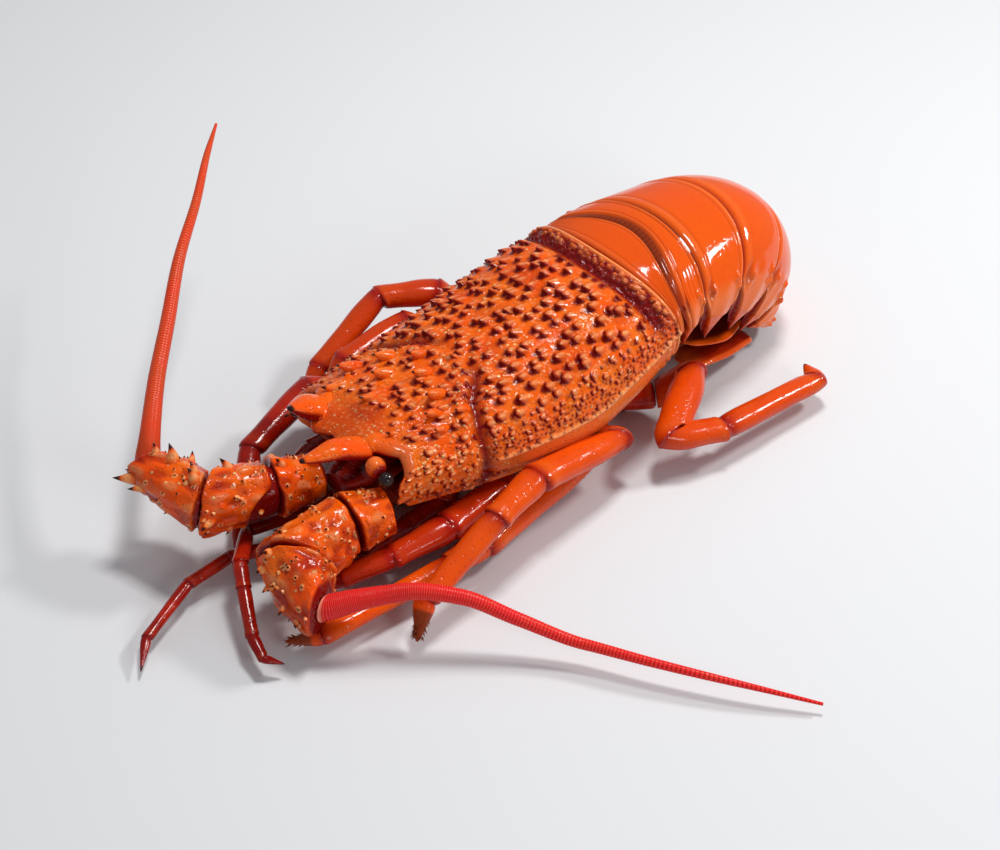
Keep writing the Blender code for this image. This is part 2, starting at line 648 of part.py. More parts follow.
def feeler_base(side, points, radii, whip):
    """Three thick joints in a chain, each with its spines; the faces that meet are parallel."""
    points = [Vector(p) for p in points]
    aheads = [(there - here).normalized() for here, there in zip(points, points[1:])]
    aheads.append((Vector(whip[1]) - Vector(whip[0])).normalized())
    faces = [aheads[0]] + [(a + b).normalized() for a, b in zip(aheads, aheads[1:])]
    for n, (near, far) in enumerate(radii):
        start = points[n] + faces[n] * TOUCH
        end = points[n + 1] - faces[n + 1] * TOUCH
        rings = []
        for share, size in FEELER_SWELL:
            radius = (near + (far - near) * share) * size
            facing = faces[n].lerp(faces[n + 1], share)
            rings.append(ring_round(start.lerp(end, share), facing, radius, FEELER_SIDES))
        joint = loft(f"feeler_{side}_{n + 1}", rings, shell_orange())
        spines = []
        for k, (turn, share, length) in enumerate(FEELER_SPINES[n]):
            level, upright = cross_axes(faces[n].lerp(faces[n + 1], share).normalized())
            out = level * math.cos(math.radians(turn)) + upright * math.sin(math.radians(turn))
            radius = near + (far - near) * share
            foot = start.lerp(end, share) + out * radius * FEELER_SPINE_FOOT
            rise, lean = length * FEELER_SPINE_RISE, length * FEELER_SPINE_LEAN
            tip = start.lerp(end, share) + out * (radius + rise) + aheads[n] * lean
            size = (FEELER_SPINE_RADIUS, SMALL_SPINE_SIDES)
            spines.append(spine(f"spine_{k}", foot, tip, *size, shell_orange()))
        fuse(joint, spines)


def feeler_bases():
    feeler_base("left", FEELER_LEFT, FEELER_LEFT_RADII, WHIP_LEFT)
    feeler_base("right", FEELER_RIGHT, FEELER_RIGHT_RADII, WHIP_RIGHT)


def feelerlets():
    """The thin inner pair of feelers, each jointed and forked at its end."""
    for side, points in (("left", FEELERLET_LEFT), ("right", FEELERLET_RIGHT)):
        limb(f"feelerlet_{side}", points, FEELERLET_RADII, leg_red())


def mouth_legs():
    for side, sign in (("left", 1), ("right", -1)):
        points = [(x * sign, y, z) for x, y, z in MOUTH_LEG]
        limb(f"mouth_leg_{side}", points, MOUTH_LEG_RADII, leg_red())


def whip_face(points, whip):
    """Direction of the face where a whip meets its base."""
    before = (Vector(points[-1]) - Vector(points[-2])).normalized()
    return (before + (Vector(whip[1]) - Vector(whip[0])).normalized()).normalized()


def whips():
    for side, points, whip in (("left", FEELER_LEFT, WHIP_LEFT), ("right", FEELER_RIGHT, WHIP_RIGHT)):
        facing = whip_face(points, whip)
        route = (tuple(Vector(points[-1]) + facing * TOUCH),) + whip[1:]
        tube(f"whip_{side}", route, WHIP_RADII, facing, whip_crimson())


def build():
    for leftover in list(bpy.data.objects):
        bpy.data.objects.remove(leftover, do_unlink=True)
    carapace()
    breast()
    legs()
    for n in range(6):
        tail_piece(n)
    fan()
    face()
    eyes()
    feeler_bases()
    feelerlets()
    mouth_legs()
    whips()


build()
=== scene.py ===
"""Dresses the cooked spiny lobster: shell, spines, feelers, legs, tail, and the light on them.

Lengths in the tables below are in millimetres, with the head along -Y, the animal's left
along +X and its back along +Z. Skin.make() turns them into metres.
"""

import math
import types

import bpy
import numpy as np
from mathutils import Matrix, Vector


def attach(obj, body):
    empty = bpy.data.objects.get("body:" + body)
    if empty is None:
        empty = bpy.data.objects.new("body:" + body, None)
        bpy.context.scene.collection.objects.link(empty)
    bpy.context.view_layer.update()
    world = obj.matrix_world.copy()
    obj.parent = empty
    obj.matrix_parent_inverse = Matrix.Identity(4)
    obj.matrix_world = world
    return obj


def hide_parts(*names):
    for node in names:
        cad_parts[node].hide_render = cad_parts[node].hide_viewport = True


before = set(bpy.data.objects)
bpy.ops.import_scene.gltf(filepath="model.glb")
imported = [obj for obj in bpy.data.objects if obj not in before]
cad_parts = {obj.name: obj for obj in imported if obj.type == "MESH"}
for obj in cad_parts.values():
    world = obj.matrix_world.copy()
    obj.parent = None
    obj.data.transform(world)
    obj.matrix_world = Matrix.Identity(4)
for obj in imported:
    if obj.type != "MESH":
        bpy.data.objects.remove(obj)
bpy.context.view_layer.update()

bl_info = {
    "name": "Cooked spiny lobster",
    "version": (1, 0, 0),
    "blender": (4, 5, 0),
    "location": "View3D > Sidebar > Lobster",
    "description": "Builds the shell, spines, feelers, legs and tail of a cooked spiny lobster",
    "category": "Object",
}

MM = 0.001

# The back shell. Each pair is (place along Y, value there), but in the edges and the neck groove it
# is (place across, place along Y). Across runs from 0 on the middle line to 1 at the rim.
BACK_TOP = ((-72, 42), (-60, 46.5), (-30, 51.5), (0, 55.5), (25, 59), (45, 62), (64, 62.5))
BACK_HALF_WIDTH = ((-72, 30), (-58, 33.5), (-31, 38.5), (-7, 42), (19, 44.5), (42, 43.5), (68, 41))
BACK_SHIFT = ((-72, 2), (-50, 3), (-20, 4.5), (20, 3), (66, 0))
RIM_HEIGHT = ((-72, 27), (-40, 25), (15, 22.5), (45, 27), (70, 34))
WIDEST_OVER_RIM = 8.0
RIM_TURN = math.radians(108)
SQUARENESS = 2.25
FRONT_EDGE = (
    (0, -68), (0.13, -71), (0.24, -66), (0.34, -58), (0.48, -56.5),
    (0.6, -59.5), (0.72, -63), (0.84, -64), (1, -60),
)
REAR_EDGE_MIDDLE = 62.0
REAR_EDGE_SWEEP = 6.0
REAR_HALF_WIDTH = 42.0
FRONT_FLOOR = -49.0
LIP = 1.8
# Each mask's value in the front recess and on the closed rear.
SHELL_END_MASKS = {"dark": (0.05, 0.4), "pale": (0, 0), "red": (0.9, 0.6), "speck": (0, 0)}
SHELL_MIDDLE_HEIGHT = 46.0
# A place inside the shell. Outward is away from it.
SHELL_HEART = (0, 0, 38.0)
SHELL_ROWS = 290
SHELL_COLUMNS = 300
SHELL_UNDER_COLUMNS = 12
NECK_GROOVE = ((0, -11), (0.14, -14.5), (0.3, -23), (0.55, -28.5), (1, -31))
HIND_GROOVE_AHEAD = 9.0
THORN_PITCH = 6.0
SMALL_THORN_SHARE = 0.66
SMALL_THORN_SHIFT = 1.3
THORN_SEEDS = (3, 23)
# Spans over which a zone of the back shell sets in, across it or along Y.
GROOVE_ACROSS = (0.02, 0.2)
BROW_ALONG = (-58, -47)
BAND_ACROSS = (0.765, 0.8)
BAND_ALONG = (-36, -26)
FLANK_ACROSS = (0.46, 0.62)
CHEEK_ACROSS = (0.4, 0.52)
CHEEK_LOW_EDGE = (0.87, 0.92)
CHEEK_ALONG = (-65, -60)
CHEEK_BEHIND = (-8, -3)
CROWD_ACROSS = (0.36, 0.5)
CROWD_LOW_EDGE = (0.86, 0.9)
PITS_ACROSS = (0.52, 0.66)
FADE_FROM = 0.74
FADE_SPAN = 0.22
RIDGE_AT = 0.782
SEAM_AT = 0.935
KEEL_AT = 0.16
# Grains of the back shell, and its painted glints: (spacing, radius, seed, share of the spots that have
# one).
BEADS = (2.4, 0.85, 21, 0.5)
FRINGE = (2.7, 1.55, 31, 0.95)
PITS = (1.9, 0.74, 41, 0.92)
SEAM_BEADS = (2.3, 1.0, 51, 0.9)
# GLINTS are painted highlights: pale spots without any rise, standing in for glints of light.
GLINTS = (1.8, 0.68, 61, 0.26)

# Ridges that rim the eyes' notches: places on the shell (along Y, across), points ahead, radii.
BROWS = (
    (
        (
            (-61.5, 0.72), (-58.5, 0.6), (-56.3, 0.48), (-55.5, 0.4),
            (-57, 0.32), (-60, 0.2), (-64, 0.175),
        ),
        ((13.5, -71, 46), (13.8, -77, 48.6), (13.2, -83.5, 49.2), (12.5, -90, 50)),
        (0.9, 1.7, 2.3, 2.8, 3.8, 4.9, 5.7, 5.7, 4.9, 3.2, 0.9),
    ),
    (
        (
            (-61.5, -0.72), (-58.5, -0.6), (-56.3, -0.48), (-55.5, -0.4),
            (-57, -0.32), (-60, -0.24), (-63, -0.2),
        ),
        ((-12.9, -66.5, 45.6), (-12.2, -71.5, 48.6), (-11.5, -77, 52)),
        (0.9, 1.7, 2.3, 2.8, 3.8, 5.0, 6.5, 7.2, 5.0, 0.9),
    ),
)
BROW_SINK = 0.38
BROW_FLATNESS = 0.64
BROW_ROWS = 130
BROW_SIDES = 40
# Lesser blunt spines of the head: (place along Y, across, length, radius).
BLUNT_SPINES = (
    (-36, -0.125, 7.5, 3.4), (-40, -0.346, 8.5, 3.6), (-26.5, 0.0, 7, 3.2), (-30, 0.14, 7, 3.2),
    (-36, 0.24, 6.5, 2.8), (-66, 0.185, 3.4, 1.5), (-29, -0.24, 7.5, 3.2), (-21, -0.1, 6.5, 2.8),
    (-38, 0.36, 5.5, 2.4), (-27, 0.3, 5.5, 2.4),
)
# Great spines of the head: (foot, tip, foot radius, bend).
HEAD_SPINES = (
    ((-16, -46, 44), (-17, -59, 49), 4.2, (0, 0, -1)),
    ((-1, -43, 47), (-1, -54, 51.5), 3.6, (0, 0, -1)),
    ((12, -37, 47), (11, -46, 51.5), 3.6, (0, 0, -1)),
    ((19, -47, 44), (18.5, -57, 49), 3.4, (0, 0, -1)),
    ((32, -53, 31), (35, -67, 30), 4.0, (0, 0, 1)),
    ((-28, -53, 31), (-31, -67, 30), 4.0, (0, 0, 1)),
)

# The breast: (place along Y, half width of the top, half width of the flat plate).
BREAST = ((-49.2, 20, 8), (-20, 33, 13), (20, 38, 19), (45, 38, 23), (59, 35, 24))
BREAST_UNDER_SHELL = 1.4
BREAST_SIDE_SHARE = 0.55
BREAST_SIDE_HEIGHT = 11.0
BREAST_SEAMS = (-40, -22, -4, 14, 32, 48)
BREAST_ROWS = 120
BREAST_STEPS = 14
HIP_RADIUS = 6.0
HIP_LENGTH = 8.0
HIP_PROFILE = ((0, 0.8), (0.7, 1.0), (0.92, 1.04), (1, 0.85))
HIP_ROWS = 24
HIP_SIDES = 28
TOUCH = 0.3

# Tail: for each joint the back's (y, z), the belly's (y, z) and the half width.
TAIL_BACK = ((62.6, 61.5), (79, 64.8), (91, 66.5), (120, 65.5), (147, 54), (158.5, 31), (146, 2))
TAIL_BELLY = ((63, 42), (70.5, 42.5), (80, 42), (98.5, 37), (114, 28), (122, 18), (124, 11))
TAIL_HALF_WIDTH = (40.5, 40.5, 40, 38.5, 36, 33, 30.5)
TAIL_SQUARENESS = (2, 2, 2, 2.05, 2.2, 2.35, 2.6)
TAIL_LEAN = (1, 5, 1, 1, 1, 1, 1)
TAIL_BAND = (0.06, 0.32, 0.1, 0.08, 0.08, 0.08)
TAIL_RIDGE = (0.5, 1.0, 0.6, 0.14, 0.12, 0.12)
SIDE_LOBE = (0.6, 8, 10, 9, 8, 3)
SIDE_LOBE_AT = 0.62
SIDE_LOBE_END = 1.02
SIDE_LOBE_BLUNTNESS = 0.8
LEAF_TOP = 0.8
LEAF_TIP = 1.12
LEAF_STEP = 1.8
LOBE_COLUMNS = 8
TAIL_ROWS = 80
TAIL_ARCH = 140
LEFTWARD = np.array((1.0, 0.0, 0.0))
SIDE_LOBE_WALL = 4.0
SIDE_LOBE_EDGE = 1.5
LEAST_LOBE = 0.8
TUCK = 1.3
FIRST_JOINT_SWEEP = 0.95
# Leaves of the tail fan: root, end, and half width at shares of the length.
TELSON = ((0, 121.5, 5), (0, 90, 4.5), ((0, 11), (0.5, 14), (1, 8)))
FAN_INNER = ((17, 121, 12), (20, 80, 24), ((0, 8), (0.5, 15), (0.8, 13), (1, 8)))
FAN_OUTER = ((25, 121.5, 6.5), (27, 84, 13), ((0, 6), (0.5, 8.5), (0.8, 8), (1, 5)))
FAN_THICKNESS = 2.2
# How dark the painted shade is on the inner and outer fan leaves, away from their rolled edges.
INNER_SHADE = 0.75
OUTER_SHADE = 0.1
BLADE_ROWS = 40
BLADE_SIDES = 72

# Limbs: points from the hip outwards, and the limb's radius at each.
LEG_FLATNESS = 0.78
LEGS_LEFT = (
    ((29, -43, 12), (30, -57, 11), (27, -76, 8), (22, -89, 6), (16, -100, 4)),
    ((39, -22, 15), (43, -50, 16), (40, -73, 13.5), (33, -90, 9), (24, -98, 4)),
    ((43, 24, 17), (50.5, 26, 19.5), (53.5, -17, 27), (59.5, -41, 26), (65, -78, 14), (71, -87, 4.5)),
    ((38.5, 31, 6), (51.5, -42, 8.5), (52.5, -57, 8.5), (50, -112, 7.5), (41, -121, 4)),
    ((33, 65, 10), (42, 74.5, 20), (60.5, 45, 16), (67, 67, 13), (68, 119, 10), (59, 122, 11)),
)
LEGS_RIGHT = (
    ((-28, -43, 12), (-27, -57, 11), (-22, -76, 8), (-18, -88, 6), (-16, -98, 4)),
    ((-37, -18, 13), (-48, -44, 21), (-37, -79, 17), (-12, -101, 8), (-5, -109, 4)),
    ((-42, 20, 16), (-53, 8, 24), (-53, -22, 20), (-51, -29, 12), (-50, -31, 6)),
    ((-41, 40, 10), (-57, 28, 28), (-69, 8, 28), (-63, -28, 14), (-58, -36, 8), (-55, -39, 4)),
    ((-33, 65, 10), (-44, 76, 17), (-62, 90, 15), (-61, 112, 11), (-50, 142, 7), (-46, 149, 5)),
)
LEG_RADII = (
    (5.0, 5.6, 4.4, 4.2, 2.0),
    (6.0, 6.4, 4.8, 4.4, 2.2),
    (6.0, 6.6, 6.5, 5.2, 4.6, 2.2),
    (6.0, 6.9, 4.8, 3.8, 2.0),
    (7.2, 7.6, 5.8, 5.4, 2.2),
)
# How red each of the orange legs is all over.
LEG_RED = {"left": (0.0, 0.75, 0.25, 0.15, 0.34), "right": (0.0, 0.0, 0.55, 0.55, 0.0)}
ORANGE_LEGS = {"left": (1, 2, 3, 4), "right": (2, 3)}
# How much red the orange legs get on their undersides, as painted shade.
ORANGE_UNDERSIDE_SHADE = 0.35
BROWN_TIPPED = {"left": (2, 3), "right": ()}
BROWN_TIP = 0.75
HIP_PLACES = ((23, -34, 12), (29, -12, 12), (31, 22, 16.5), (28, 35, 9), (27, 57, 9))

# Feelers: where the three base joints start and end, and each joint's radius at its two ends.
FEELER_LEFT = ((30, -65.5, 25), (25.5, -80.5, 24.5), (27, -107, 22), (48.5, -110, 18.5))
FEELER_LEFT_RADII = ((9.5, 11.0), (11.0, 12.5), (13.5, 9.5))
FEELER_RIGHT = ((0, -73.5, 26), (-3.5, -92, 28), (-12, -115.5, 29), (-38, -121.5, 34))
FEELER_RIGHT_RADII = ((8.5, 10.5), (10.5, 11.5), (11.5, 8.0))
FEELER_SWELL = ((0, 0.88), (0.06, 0.94), (0.2, 0.97), (0.5, 1.0), (0.85, 1.05), (0.955, 1.07), (1, 0.99))
# Spines of each feeler joint: (turn about it in degrees, share of its length, length).
FEELER_SPINES = {
    "right": (
        ((90, 0.8, 6), (140, 0.85, 2), (60, 0.5, 2), (115, 0.4, 1.6)),
        (
            (65, 0.65, 8), (110, 0.45, 1.6), (140, 0.55, 2.4), (155, 0.9, 1.6), (180, 0.85, 6),
            (20, 0.7, 5), (215, 0.6, 4),
        ),
        (
            (180, 0.85, 9), (185, 0.7, 7), (75, 0.65, 9), (85, 0.2, 6), (100, 0.15, 7), (75, 0.94, 6),
            (115, 0.25, 2.4), (30, 0.5, 6), (0, 0.75, 6), (-30, 0.6, 5),
        ),
    ),
    "left": (
        ((125, 0.8, 1.6), (155, 0.9, 2), (45, 0.92, 2.5), (90, 0.5, 1.6)),
        (
            (45, 0.25, 4), (70, 0.8, 6), (75, 0.55, 2.2), (115, 0.5, 2.2), (140, 0.92, 2), (100, 0.8, 1.8),
            (20, 0.6, 5), (-20, 0.75, 5),
        ),
        (
            (20, 0.2, 6), (50, 0.1, 6), (75, 0.35, 2.2), (15, 0.4, 1.8), (25, 0.55, 1.8), (15, 0.94, 3),
            (-10, 0.3, 4), (-5, 0.6, 4), (-10, 0.8, 4), (-30, 0.5, 4),
        ),
    ),
}
LEAST_SPINE = 2.6
# Share of each feeler joint that is soft skin, and how much more of it is on the lower side.
FEELER_SKIN = {"left": (0.02, 0.02, 0.03), "right": (0.06, 0.08, 0.03)}
FEELER_SKIN_BELOW = {"left": (0.0, 0.06, 0.04), "right": (0.0, 0.3, 0.02)}
FEELER_SKIN_TURN = math.radians(215)
FEELER_ROWS = 84
FEELER_SIDES = 96
SMALL_SPINES = 26
WHIP_LEFT = (
    (50, -109, 18.5), (55, -100, 21), (60, -92, 22), (68, -83, 24), (79, -72, 22),
    (94, -60, 14.8), (113, -47, 8.8), (134, -35, 8.2), (159, -19, 6.8), (182, -2, 3.5),
)
WHIP_RIGHT = (
    (-40, -121, 34.5), (-47, -114, 38), (-66, -98, 43), (-87, -78, 49), (-108, -58, 56), (-130, -34, 62),
    (-148, -16, 67), (-161, -2, 70),
)
WHIP_SIDES = 18
WHIP_ROWS_A_RING = 5
WHIP_SEEDS = {"left": 4, "right": 5}
WHIP_RADII = ((0, 4.9), (0.14, 3.9), (0.3, 3.2), (0.5, 2.7), (0.66, 2.1), (0.84, 1.5), (1, 0.6))
FEELERLET_LEFT = ((9, -78, 12.5), (7, -98, 11), (-2, -114, 9), (-2, -132, 7), (9, -157, 5), (19, -166, 3))
FEELERLET_RIGHT = (
    (1, -76, 12.5), (-5.6, -103, 13), (10, -117, 16.5), (19, -122, 14),
    (36, -131, 9), (45, -133, 7), (50, -128, 5),
)
FEELERLET_RADII = (3.0, 3.0, 2.8, 2.5, 2.1, 0.9)

# The face: (place along Y, half width, low, high), about a middle a little to the left.
FACE = ((-50, 15, 29, 38), (-57, 16, 29, 36), (-61, 16, 28.5, 34), (-65, 12, 14, 32), (-72.5, 8, 13, 30))
FACE_MIDDLE = 8.0
FACE_ROWS = 90
FACE_SIDES = 120
# Eyes: foot of the stalk, its knob, and the middle of the eye's ball.
EYES = {
    "left": ((19, -61, 37), (23, -65.5, 40.5), (29.5, -66, 39)),
    "right": ((-12, -61, 33.5), (-18, -64.5, 38), (-24.5, -65, 37)),
}
EYE_RADIUS = 2.9
BALL_ROWS = 28
BALL_SIDES = 36
STALK_RADIUS = 3.4
STALK_PROFILE = ((0, 0.7), (0.35, 1.0), (0.7, 1.05), (0.92, 0.9), (1, 0.6))
STALK_ROWS = 36
STALK_SIDES = 28
MOUTH_LEG = ((7, -51, 8), (9, -62, 9), (8, -74, 7), (6, -84, 4))
MOUTH_LEG_RADII = (3.6, 3.8, 3.2, 1.6)

# Camera: where it looks, from which side, how far away, and its lens.
CAMERA_TARGET = (-2.0, 14.5, 0.0)
CAMERA_AZIMUTH = math.radians(49)
CAMERA_ELEVATION = math.radians(40)
CAMERA_DISTANCE = 0.8
CAMERA_LENS = 73.4
CAMERA_SENSOR = 36.0
# Lights: where each one is, where it aims, its size in metres, its power and its colour.
LIGHTS = (
    ("window", (330, 800, 760), (20, 90, 55), (0.2, 0.125), 5.0, (1.0, 0.99, 0.97)),
    ("key", (-60, 250, 1000), (-20, 0, 40), (0.22, 0.16), 5.3, (1.0, 0.99, 0.97)),
    ("fill", (900, -100, 500), (0, 0, 20), (0.3, 0.2), 1.5, (0.95, 0.98, 1.0)),
)
ROOM_COLOUR = (0.93, 0.96, 1.0, 1.0)
ROOM_STRENGTH = 0.3
FLOOR_REACH = 6.0
FLOOR_DROP = 0.0006
FLOOR_ROUGHNESS = 0.7
FLOOR_COLOURS = ((0.76, 0.77, 0.79, 1.0), (0.8, 0.81, 0.83, 1.0))


class LobsterSizes(bpy.types.PropertyGroup):
    """Sizes of the lobster's relief."""

    thorn_height: bpy.props.FloatProperty(
        name="Thorn height", description="How far the back shell's thorns rise",
        default=0.0024, min=0.0, max=0.005, unit="LENGTH",
    )
    thorn_spacing: bpy.props.FloatProperty(
        name="Thorn spacing", description="Distance from thorn to thorn on the back shell",
        default=0.006, min=0.003, max=0.02, unit="LENGTH",
    )
    ring_spacing: bpy.props.FloatProperty(
        name="Whip ring spacing", description="Distance from ring to ring along the whips",
        default=0.00105, min=0.0006, max=0.005, unit="LENGTH",
    )


class LobsterColours(bpy.types.PropertyGroup):
    """Colours of the lobster's finishes."""

    shell: bpy.props.FloatVectorProperty(
        name="Shell", description="Ground colour of the back shell",
        default=(0.86, 0.09, 0.001), min=0.0, max=1.0, subtype="COLOR",
    )
    # Also the colour of the painted glints and of the painted highlights on the thorn crests.
    shell_pale: bpy.props.FloatVectorProperty(
        name="Shell, pale", description="Crests and rims of the back shell",
        default=(0.95, 0.4, 0.15), min=0.0, max=1.0, subtype="COLOR",
    )
    # Also the colour of the painted shade and painted shadows at the thorns' fronts.
    shell_dark: bpy.props.FloatVectorProperty(
        name="Shell, dark", description="Thorn tips, grooves and pits",
        default=(0.19, 0.001, 0.0005), min=0.0, max=1.0, subtype="COLOR",
    )
    spine: bpy.props.FloatVectorProperty(
        name="Spines", description="Ground colour of the horns, eye stalks and feeler bases",
        default=(0.9, 0.08, 0.001), min=0.0, max=1.0, subtype="COLOR",
    )
    tail: bpy.props.FloatVectorProperty(
        name="Tail", description="Ground colour of the tail",
        default=(0.8, 0.094, 0.001), min=0.0, max=1.0, subtype="COLOR",
    )
    leg: bpy.props.FloatVectorProperty(
        name="Legs, orange", description="Ground colour of the orange legs",
        default=(0.95, 0.11, 0.002), min=0.0, max=1.0, subtype="COLOR",
    )
    leg_deep: bpy.props.FloatVectorProperty(
        name="Legs, red", description="Ground colour of the red legs",
        default=(0.24, 0.004, 0.002), min=0.0, max=1.0, subtype="COLOR",
    )
    whip_left: bpy.props.FloatVectorProperty(
        name="Left whip", description="Ground colour of the left feeler's whip",
        default=(0.98, 0.02, 0.024), min=0.0, max=1.0, subtype="COLOR",
    )
    whip_right: bpy.props.FloatVectorProperty(
        name="Right whip", description="Ground colour of the right feeler's whip",
        default=(0.72, 0.075, 0.012), min=0.0, max=1.0, subtype="COLOR",
    )
    # Also the red painted as shade under the brows, in the feelers' hollows, on the whips' undersides, in
    # the tail's side folds and inside the fan's leaves.
    membrane: bpy.props.FloatVectorProperty(
        name="Membrane", description="Soft skin at the joints and on the face",
        default=(0.3, 0.004, 0.003), min=0.0, max=1.0, subtype="COLOR",
    )
    eye: bpy.props.FloatVectorProperty(
        name="Eyes", description="The eyes' black balls",
        default=(0.008, 0.004, 0.004), min=0.0, max=1.0, subtype="COLOR",
    )


# ---------------------------------------------------------------- curves and points


def smooth(knots, at):
    """Values at places, on a smooth curve through (place, value) knots that never overshoots."""
    places = np.array([knot[0] for knot in knots], float)
    values = np.array([knot[1] for knot in knots], float)
    at = np.clip(np.asarray(at, float), places[0], places[-1])
    rises = np.diff(values) / np.diff(places)
    before, after = rises[:-1], rises[1:]
    same_way = before * after > 0
    total = np.where(same_way, before + after, 1.0)
    inner = np.where(same_way, 2 * before * after / total, 0.0)
    slopes = np.concatenate(([rises[0]], inner, [rises[-1]]))
    i = np.clip(np.searchsorted(places, at, side="left") - 1, 0, len(places) - 2)
    span = places[i + 1] - places[i]
    t = (at - places[i]) / span
    return (
        (2 * t**3 - 3 * t**2 + 1) * values[i]
        + (t**3 - 2 * t**2 + t) * span * slopes[i]
        + (3 * t**2 - 2 * t**3) * values[i + 1]
        + (t**3 - t**2) * span * slopes[i + 1]
    )


def along(points, at):
    """Points at shares (0 to 1) of a smooth route through the points."""
    places = np.linspace(0, 1, len(points))
    return np.stack([smooth(tuple(zip(places, [p[axis] for p in points])), at) for axis in range(3)], -1)


def ramp(value, low, high):
    """0 below low, 1 above high, and an S-curve between them."""
    t = np.clip((value - low) / (high - low), 0.0, 1.0)
    return t * t * (3 - 2 * t)


def bell(distance, width):
    """1 at no distance, and a little over a third at half the width."""
    return np.exp(-((2 * distance / width) ** 2))


def rounded(value):
    """A sine or cosine, filled out towards a box as the back shell's section is."""
    return np.sign(value) * np.abs(value) ** (2 / SQUARENESS)


def angles(sides):
    """The turns of a ring's points, in radians."""
    return np.arange(sides) * math.tau / sides


def unit(vectors):
    """The vectors, each made one long."""
    vectors = np.asarray(vectors, float)
    return vectors / np.maximum(np.linalg.norm(vectors, axis=-1, keepdims=True), 1e-9)


def chance(*numbers):
    """Repeatable random numbers from 0 to 1, one for each set of whole numbers."""
    mixed = np.zeros(np.broadcast(*numbers).shape)
    for n, number in enumerate(numbers):
        mixed = mixed + np.asarray(number, float) * (12.9898 + 65.351 * n)
    return np.modf(np.abs(np.sin(mixed) * 43758.5453))[0]


def scatter(u, v, spacing, jitter, seed):
    """Nearest spots of a staggered, jittered pattern: offsets along u and v, and each spot's chance."""
    row = np.floor(u / spacing[0])
    best = np.full(u.shape, 1e9)
    found = [np.zeros(u.shape), np.zeros(u.shape), np.zeros(u.shape)]
    for down in (-1, 0, 1):
        r = row + down
        shift = 0.5 * np.mod(r, 2)
        column = np.floor(v / spacing[1] - shift)
        for over in (-1, 0, 1):
            c = column + over
            spot_u = (r + 0.5 + jitter * (chance(r, c, seed) - 0.5)) * spacing[0]
            spot_v = (c + 0.5 + shift + jitter * (chance(r, c, seed + 7) - 0.5)) * spacing[1]
            du, dv = u - spot_u, v - spot_v
            far = du * du + dv * dv
            nearer = far < best
            best = np.where(nearer, far, best)
            for n, value in enumerate((du, dv, chance(r, c, seed + 13))):
                found[n] = np.where(nearer, value, found[n])
    return found


def waves(u, v, size, seed):
    """Soft irregular field from -1 to 1, made of a few crossing waves."""
    total = 0.0
    for n in range(5):
        turn = 2.4 * n + seed
        way = u * math.cos(turn) + v * math.sin(turn)
        total = total + np.sin(way * (1 + 0.37 * n) / size + 1.7 * n + seed)
    return total / 5


def cross_axes(direction):
    """Two directions across each limb direction: one level, one as near upright as it can be."""
    direction = unit(direction)
    level = np.cross(direction, (0.0, 0.0, 1.0))
    flat = np.linalg.norm(level, axis=-1, keepdims=True) < 0.05
    level = unit(np.where(flat, (1.0, 0.0, 0.0), level))
    return level, unit(np.cross(level, direction))


def rings_round(centres, facings, radii, sides, flatness=1.0):
    """Rings of points round centres; radii holds one value a ring, or one for each of its points."""
    level, upright = cross_axes(facings)
    turns = angles(sides)
    radii = np.asarray(radii, float)
    if radii.ndim == 1:
        radii = radii[:, None]
    across = level[:, None, :] * (radii * np.cos(turns))[..., None]
    rising = upright[:, None, :] * (radii * flatness * np.sin(turns))[..., None]
    return np.asarray(centres, float)[:, None, :] + across + rising


def normals_of(grid):
    """Unit normals of an open grid of points."""
    return unit(np.cross(np.gradient(grid, axis=1), np.gradient(grid, axis=0)))


# ---------------------------------------------------------------- skins

# What each point carries for the materials: dark tips, grooves and pits, also painted shade and shadows;
# pale crests and grains, also painted highlights; red skin, also painted as shade on undersides, in hollows
# and in folds; and pale specks.
MASKS = ("dark", "pale", "red", "speck")


def link_to_scene(thing):
    """Puts an object into the scene."""
    bpy.context.scene.collection.objects.link(thing)


class Skin:
    """Collects sheets of points, with named masks, and turns them into one mesh object."""

    def __init__(self):
        self.points = []
        self.values = {name: [] for name in MASKS}
        self.faces = []
        self.count = 0

    def sheet(self, grid, **masks):
        """Adds a tube of points, rows by columns, with a cap at either end."""
        rows, columns = grid.shape[:2]
        numbers = self.count + np.arange(rows * columns).reshape(rows, columns)
        right = np.roll(numbers, -1, axis=1)
        quads = np.stack([numbers[:-1], right[:-1], right[1:], numbers[1:]], -1).reshape(-1, 4)
        self.faces += quads.tolist()
        masks = {name: np.broadcast_to(mask, (rows, columns)) for name, mask in masks.items()}
        self.add_points(grid.reshape(-1, 3), {name: mask.ravel() for name, mask in masks.items()})
        for row, turned in ((0, True), (rows - 1, False)):
            ends = {name: np.mean(mask[row]) for name, mask in masks.items()}
            self.close(grid[row], numbers[row], ends, turned)

    def close(self, ring, numbers, masks, turned):
        """Caps a ring with a fan of triangles round its middle."""
        middle = self.count
        self.add_points(ring.mean(axis=0)[None], {k: np.array([v]) for k, v in masks.items()})
        following = np.roll(numbers, -1)
        for here, there in zip(numbers.tolist(), following.tolist()):
            self.faces.append((there, here, middle) if turned else (here, there, middle))

    def add_points(self, points, masks):
        """Adds points and their masks; a mask that isn't given is 0."""
        self.points.append(np.asarray(points, float))
        for name in MASKS:
            self.values[name].append(masks.get(name, np.zeros(len(points))))
        self.count += len(points)

    def make(self, name, material, slot, *nodes):
        """The mesh object in metres, riding on the body in place of the nodes it stands for."""
        mesh = bpy.data.meshes.new(name)
        mesh.from_pydata(np.concatenate(self.points) * MM, [], self.faces)
        for mask in MASKS:
            layer = mesh.attributes.new(mask, "FLOAT", "POINT")
            layer.data.foreach_set("value", np.concatenate(self.values[mask]).astype(np.float32))
        mesh.materials.append(material)
        mesh.shade_smooth()
        piece = bpy.data.objects.new(name, mesh)
        link_to_scene(piece)
        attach(piece, "root")
        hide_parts(*nodes)


